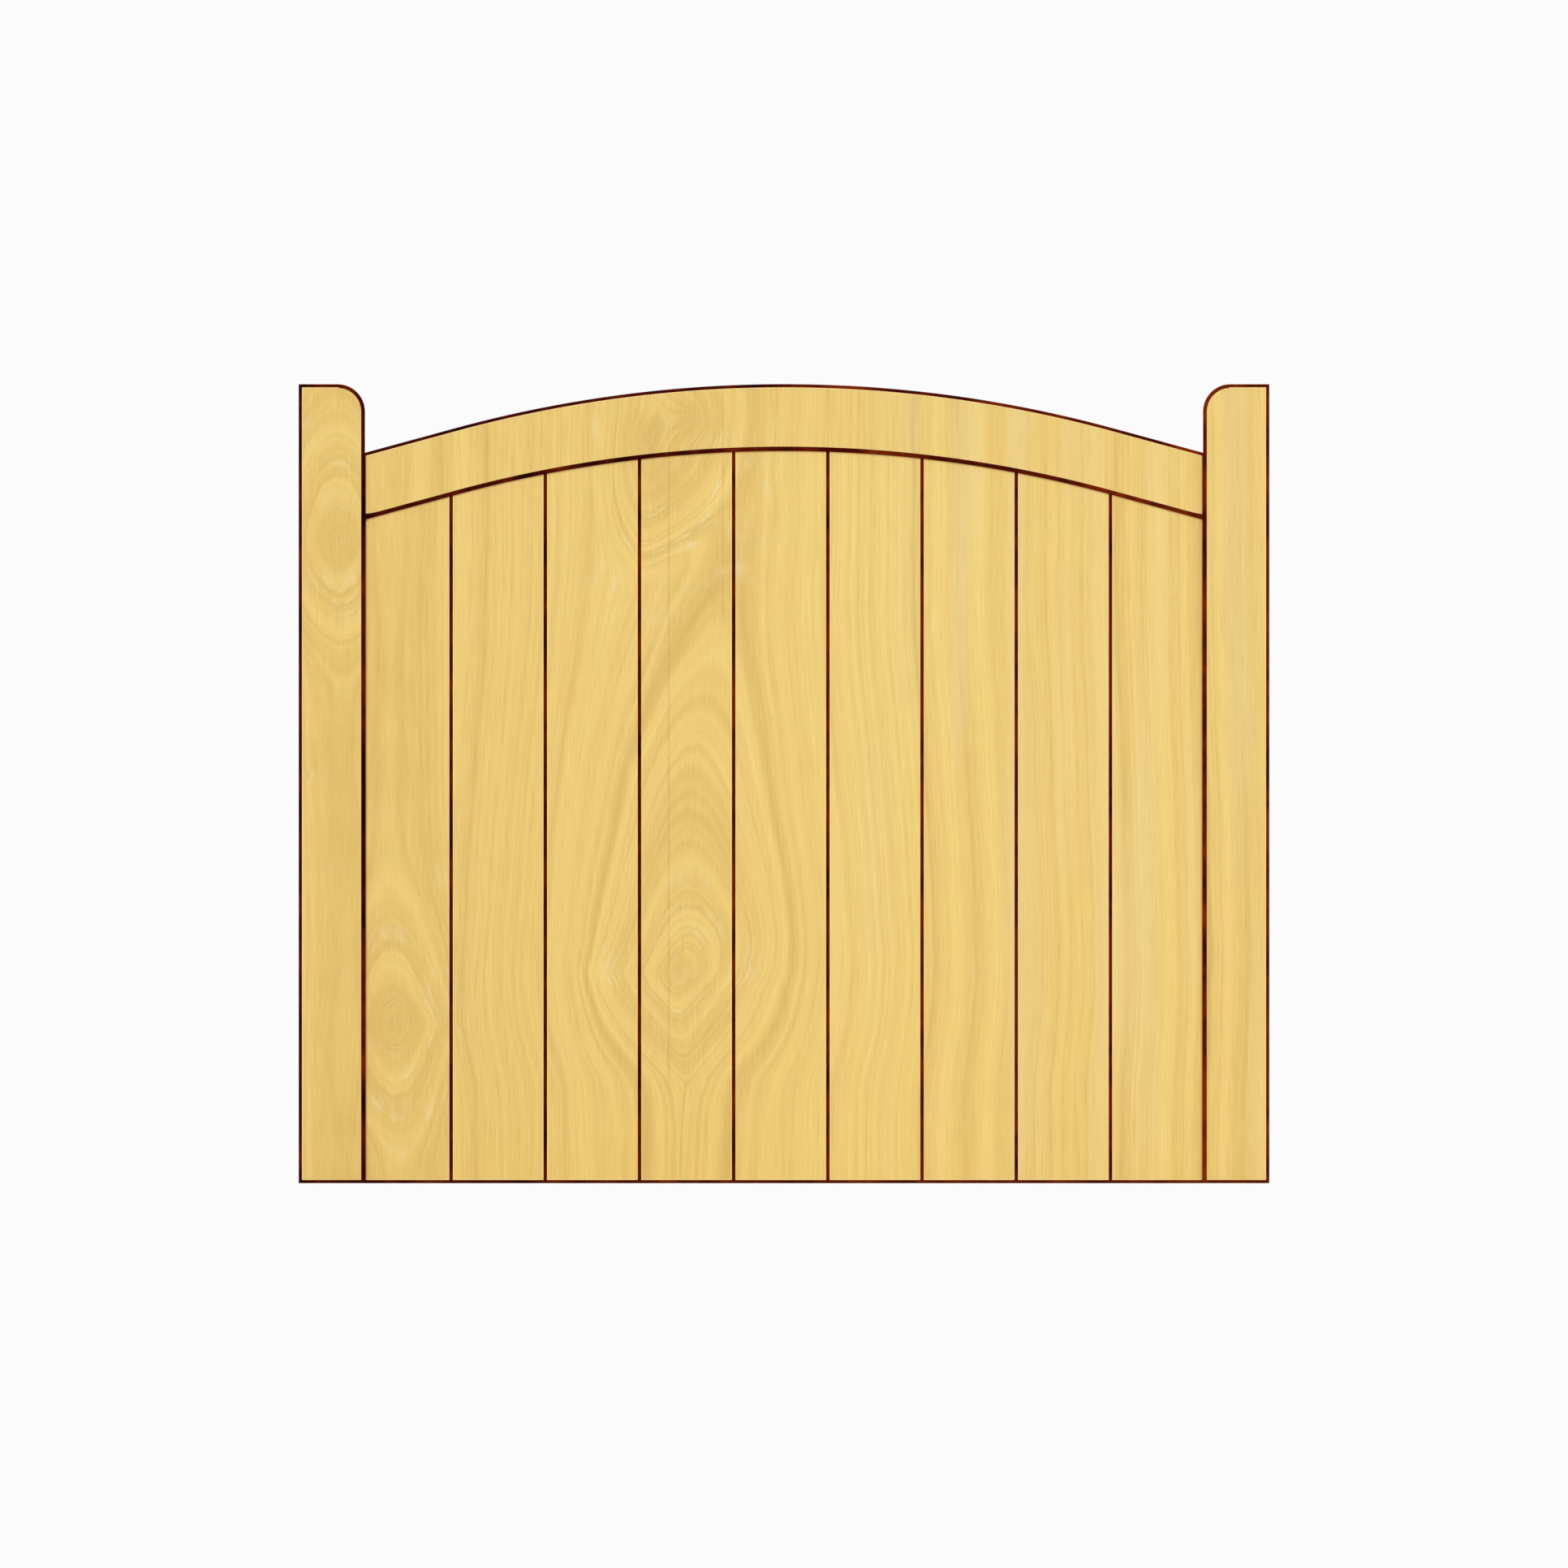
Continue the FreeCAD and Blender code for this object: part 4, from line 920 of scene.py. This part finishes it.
def ledge(node, pith, knots):
    """A level rail behind the boards: its section carried along X, countersunk for two screws to each
    board, one low and one high, with a tenon at each end."""
    low, high = cad_span(node)
    middle, half = (low[2] + high[2]) / 2, (high[2] - low[2]) / 2
    rise = half - SCREW_EDGE
    spots = [(x, side * rise) for x, side in board_screws()]
    reach = half - BACK_ARRIS - MARGIN_GAP
    section_across, section_y = backed_section(half, spaced(-reach, reach, BACK_FACE_PITCH, (-rise, rise))).T
    places = spaced(-OPENING, OPENING, BACK_ROW_PITCH, [spot[0] for spot in spots])
    stations = rail_stations(places)[:, None]
    shoulder = half - LEDGE_TENON_SHOULDER
    tenon_middle, tenon_half = (BOARD_BACK + BACK) / 2, LEDGE_TENON_THICKNESS / 2
    across, y = tenoned(section_across, section_y, stations, -shoulder, shoulder,
                        (tenon_middle - tenon_half, tenon_middle + tenon_half))
    on_back = (y == BACK) & (np.abs(stations) < OPENING)
    x, across, y = countersunk(stations + 0 * across, across, y, on_back, spots)
    grid = np.stack([x, y, middle + across], -1)

    def level_grain(px, pz):
        """Grain along the rail: across it is the height from the middle, and along it is X."""
        return pz - middle, px

    def face_inset(px, pz):
        """Distance inside the chamfers of the back."""
        return half - np.abs(pz - middle) - BACK_ARRIS

    timber(node, skin(grid, capped=True), plain_figure(pith, knots), level_grain, face_inset, BOARD_BACK)


def brace(node, pith, knots):
    """A diagonal: a section carried along the line from the bottom hinge corner to the top latch corner,
    each line of it clipped by the rails and stiles that it meets, with its ends drawn in to their middle."""
    half = BRACE_WIDTH / 2
    (_, _, middle_low), (_, _, middle_top) = cad_span("middle_rail")
    foot_x, foot_z = -OPENING, cad_span("bottom_rail")[1][2]
    length = math.hypot(2 * OPENING, SHOULDER - foot_z)
    run, rise = 2 * OPENING / length, (SHOULDER - foot_z) / length

    def clipped_ends(across):
        """Where each line across the brace starts and ends along it: at the straight edge that it meets
        last or first, or under the bow, found by stepping along the line to the bow's height there."""
        if node == "lower_brace":
            start = np.maximum(across * rise / run, -across * run / rise)
            return start, (middle_low - foot_z - across * run) / rise
        start = (middle_top - foot_z - across * run) / rise
        end = (2 * OPENING + across * rise) / run
        under_rail = end
        for _ in range(CLIP_ROUNDS):
            height = bow(foot_x + under_rail * run - across * rise) - RAIL_DEPTH
            under_rail = (height - foot_z - across * run) / rise
        return start, np.minimum(end, under_rail)

    reach = half - BACK_ARRIS - MARGIN_GAP
    section_across, section_y = backed_section(half, spaced(-reach, reach, BACK_FACE_PITCH, (0.0,))).T
    start, end = clipped_ends(section_across)
    tip0, tip1 = clipped_ends(np.zeros(1))
    low, high = (foot_z, middle_low) if node == "lower_brace" else (middle_top, SHOULDER)
    places = [(x - foot_x) / run for x, _ in board_screws()]
    places = [s for s in places if low + SCREW_MARGIN < foot_z + s * rise < high - SCREW_MARGIN]
    stations = spaced(start.min(), end.max(), BACK_ROW_PITCH, places)[:, None]
    along = np.clip(stations, start, end)
    across, y = section_across + 0 * along, section_y + 0 * along
    along, across, y = countersunk(along, across, y, section_y == BACK, [(s, 0.0) for s in places])
    ends = np.zeros((1, across.shape[1]))
    along = np.concatenate([ends + tip0, along, ends + tip1])
    across = np.concatenate([ends, across, ends])
    y = np.concatenate([section_y[None], y, section_y[None]])
    grid = np.stack([foot_x + along * run - across * rise, y, foot_z + along * rise + across * run], -1)

    def sloping_grain(px, pz):
        """Grain along the slope: the offsets from the foot, turned to lie across and along the brace."""
        return (pz - foot_z) * run - (px - foot_x) * rise, (px - foot_x) * run + (pz - foot_z) * rise

    def face_inset(px, pz):
        """Distance inside the chamfers of the back."""
        return half - np.abs(sloping_grain(px, pz)[0]) - BACK_ARRIS

    timber(node, skin(grid), plain_figure(pith, knots), sloping_grain, face_inset, BOARD_BACK)


for node, shade, calm in zip(BOARDS, BOARD_SHADES, BOARD_CALMS):
    board(node, shade, calm)
stile("hinge_stile", -1)
stile("latch_stile", 1)
top_rail("top_rail")
ledge("middle_rail", 70.0, (Knot(-18, -262), Knot(24, 150, 20, 20, 90, 70), Knot(-30, 350, 9, 9, 40, 40)))
ledge("bottom_rail", -85.0, (Knot(20, -420), Knot(-22, 40, 18, 18, 80, 90), Knot(12, 310, 12, 12, 60, 50)))
brace("lower_brace", 95.0, (Knot(12, 190, 13, 13, 50, 60),))
brace("upper_brace", -60.0, (Knot(-14, 980, 13, 13, 60, 50), Knot(18, 760, 9, 9, 30, 40)))


# Metal and wedges

# Real sizes in mm of the patterns along X, Y and Z, and how far in an edge is rubbed
ORANGE_PEEL = (1.4, 1.4, 1.4)
WORN_PATCH = (18, 18, 18)
ZINC_CLOUD = (3.5, 3.5, 3.5)
ROD_LINE = (40, 0.5, 0.5)
PIN_LINE = (0.5, 0.5, 40)
OAK_PORE = (25, 0.8, 0.8)
EDGE_RUB = 1.0


def in_mm(tree):
    """Places on a piece in mm, so that patterns take their real sizes."""
    return add(tree, "VectorMath", {0: add(tree, "TexCoord")["Object"], "Scale": 1 / MM}, operation="SCALE")


def japanned_steel():
    """Pressed steel with a baked black finish. It leaves a satin black with a fine orange peel, greyer in
    patches and rubbed to a brown sheen on its edges."""
    material, tree = new_material("black_japanned_steel")
    place = in_mm(tree)
    peel = add(tree, "TexNoise", {"Vector": place}, cell=ORANGE_PEEL)
    patches = add(tree, "TexNoise", {"Vector": place, "Detail": 3.0}, cell=WORN_PATCH)
    rounded = add(tree, "Bevel", {"Radius": EDGE_RUB * MM}, samples=4)
    face = add(tree, "NewGeometry")["Normal"]
    turn = add(tree, "VectorMath", {0: rounded, 1: face}, operation="DOT_PRODUCT")["Value"]
    rub = add(tree, "MapRange", {"Value": turn, "From Min": 0.99, "From Max": 0.8})
    worn = add(tree, "MapRange", {"Value": patches, "From Min": 0.35, "From Max": 0.6})
    rub = add(tree, "Math", {0: rub, 1: worn}, operation="MULTIPLY")
    colour = add(tree, "ValToRGB", {"Fac": patches}, stops=((0.3, "#161617"), (0.75, "#242323")))
    colour = add(tree, "Mix", {"Factor": rub, "A": colour, "B": linear("#85766A")}, data_type="RGBA")
    rough = add(tree, "MapRange", {"Value": patches, "To Min": 0.32, "To Max": 0.55})
    bump = add(tree, "Bump", {"Height": peel, "Strength": 0.25, "Distance": 0.1 * MM})
    return surfaced(material, {"Base Color": colour, "Roughness": rough, "Normal": bump})


def zinc_plate():
    """Steel screws with bright zinc plating. The plating is fine-grained, so the eye sees a soft silver
    with faint straw and blue clouds."""
    material, tree = new_material("zinc_plated_steel")
    clouds = add(tree, "TexNoise", {"Vector": in_mm(tree)}, cell=ZINC_CLOUD)
    colour = add(tree, "ValToRGB", {"Fac": clouds},
                 stops=((0.3, "#AEB4BC"), (0.55, "#C4C6C8"), (0.75, "#CFC7B4")))
    rough = add(tree, "MapRange", {"Value": clouds, "To Min": 0.22, "To Max": 0.45})
    return surfaced(material, {"Base Color": colour, "Roughness": rough, "Metallic": 1.0})


def drawn_steel(name, line):
    """Round steel bar drawn through a die, which leaves fine bright lines along it, here drawn coarser than
    they are, so that the eye sees a streaked shine."""
    material, tree = new_material(name)
    lines = add(tree, "TexNoise", {"Vector": in_mm(tree)}, cell=line)
    colour = add(tree, "ValToRGB", {"Fac": lines}, stops=((0.3, "#8E9093"), (0.7, "#BDBEC0")))
    rough = add(tree, "MapRange", {"Value": lines, "To Min": 0.2, "To Max": 0.42})
    bump = add(tree, "Bump", {"Height": lines, "Strength": 0.15, "Distance": 0.1 * MM})
    return surfaced(material, {"Base Color": colour, "Roughness": rough, "Normal": bump, "Metallic": 1.0})


def cleft_oak():
    """Small wedges cleft from oak and pared flush. On their ends the eye sees a tan face with dark pores,
    here drawn coarser than they are."""
    material, tree = new_material("cleft_oak_wedge")
    pores = add(tree, "TexNoise", {"Vector": in_mm(tree)}, cell=OAK_PORE)
    colour = add(tree, "ValToRGB", {"Fac": pores}, stops=((0.35, "#6E4A28"), (0.6, "#A87B49")))
    return surfaced(material, {"Base Color": colour, "Roughness": 0.7, "Specular IOR Level": 0.15})


black, zinc, oak = japanned_steel(), zinc_plate(), cleft_oak()
rod_steel = drawn_steel("drawn_steel_rod", ROD_LINE)
pin_steel = drawn_steel("drawn_steel_pin", PIN_LINE)
FINISHES = {"wedges": oak, "screws": zinc, "leaf": black, "plate": black, "guides": black, "knob": black,
            "rod": rod_steel, "pin": pin_steel}
for name, cad_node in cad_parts.items():
    finish = FINISHES.get(name.rsplit("_", 1)[-1])
    if finish:
        for slot in cad_node.material_slots:
            slot.material = finish


# Stage, lights and camera

def lamp(name, towards, level, spread):
    """A broad lamp far off, shining along a direction, at the share of full level that it gives."""
    sun = bpy.data.lights.new(name, "SUN")
    sun.energy = level * math.pi
    sun.angle = math.radians(spread)
    lit = bpy.data.objects.new(name, sun)
    lit.rotation_mode = "QUATERNION"
    lit.rotation_quaternion = Vector(towards).to_track_quat("-Z", "Y")
    bpy.context.scene.collection.objects.link(lit)


def seen_rays(tree):
    """One for the camera's own rays, reflections and what shows through; nought for light on the object."""
    path = add(tree, "LightPath")
    seen = add(tree, "Math", {0: path["Is Camera Ray"], 1: path["Is Glossy Ray"]}, operation="MAXIMUM")
    return add(tree, "Math", {0: seen, 1: path["Is Transmission Ray"]}, operation="MAXIMUM")


FLOOR_GLOW = 0.2
FLOOR_REACH = 20.0
FLOOR_DROP = 0.0005
ROLLER_MARK = 1000.0 / 3


def pale_floor():
    """A wide square just under the gate, from its four corners. Smooth matt paint, with roller marks too
    faint to do more than keep it from looking drawn. It shows a little paler than it is lit."""
    corners = (-1, -1), (1, -1), (1, 1), (-1, 1)
    points = [(FLOOR_REACH * x, FLOOR_REACH * y, -FLOOR_DROP) for x, y in corners]
    mesh = bpy.data.meshes.new("floor")
    mesh.from_pydata(points, [], [(0, 1, 2, 3)])
    material, tree = new_material("pale_floor_paint")
    place = add(tree, "TexCoord")["Object"]
    mottle = add(tree, "TexNoise", {"Vector": place, "Scale": 1 / (ROLLER_MARK * MM)})
    colour = add(tree, "ValToRGB", {"Fac": mottle}, stops=((0.3, "#F0F0EF"), (0.7, "#F4F4F3")))
    glow = add(tree, "Math", {0: seen_rays(tree), 1: FLOOR_GLOW}, operation="MULTIPLY")
    surfaced(material, {"Base Color": colour, "Roughness": 0.9, "Specular IOR Level": 0.0,
                        "Emission Color": (1, 1, 1, 1), "Emission Strength": glow})
    mesh.materials.append(material)
    floor = bpy.data.objects.new("floor", mesh)
    bpy.context.scene.collection.objects.link(floor)


WORLD_LEVEL = 0.48
BACKGROUND = "#FBFBFB"


def studio_world():
    """Even soft light, and a white background for the camera, reflections and what shows through."""
    world = bpy.data.worlds.new("studio")
    world.use_nodes = True
    tree = world.node_tree
    tree.nodes.clear()
    soft = add(tree, "Background", {"Color": (1, 1, 1, 1), "Strength": WORLD_LEVEL})
    white = add(tree, "Background", {"Color": linear(BACKGROUND), "Strength": 1.0})
    add(tree, "OutputWorld", {"Surface": add(tree, "MixShader", {0: seen_rays(tree), 1: soft, 2: white})})
    bpy.context.scene.world = world


PHOTO_PIXELS = 1932
MM_PER_PIXEL = 1.00334
PHOTO_CENTRE_Z = 493.6
CAMERA_Y = -8.0


def photo_camera():
    """A flat, level view of the front from far off, as wide as the photograph's frame."""
    lens = bpy.data.cameras.new("photo_camera")
    lens.type = "ORTHO"
    lens.ortho_scale = PHOTO_PIXELS * MM_PER_PIXEL * MM
    camera = bpy.data.objects.new("photo_camera", lens)
    camera.location = (0.0, CAMERA_Y, PHOTO_CENTRE_Z * MM)
    camera.rotation_euler = (math.pi / 2, 0.0, 0.0)
    bpy.context.scene.collection.objects.link(camera)
    bpy.context.scene.camera = camera


lamp("key", (0.35, 1.0, -0.55), 0.34, 40)
lamp("fill", (-0.45, 1.0, -0.2), 0.19, 60)
lamp("back", (-0.3, -1.0, -0.6), 0.39, 50)
pale_floor()
studio_world()
photo_camera()
bpy.context.scene.view_settings.view_transform = "Standard"
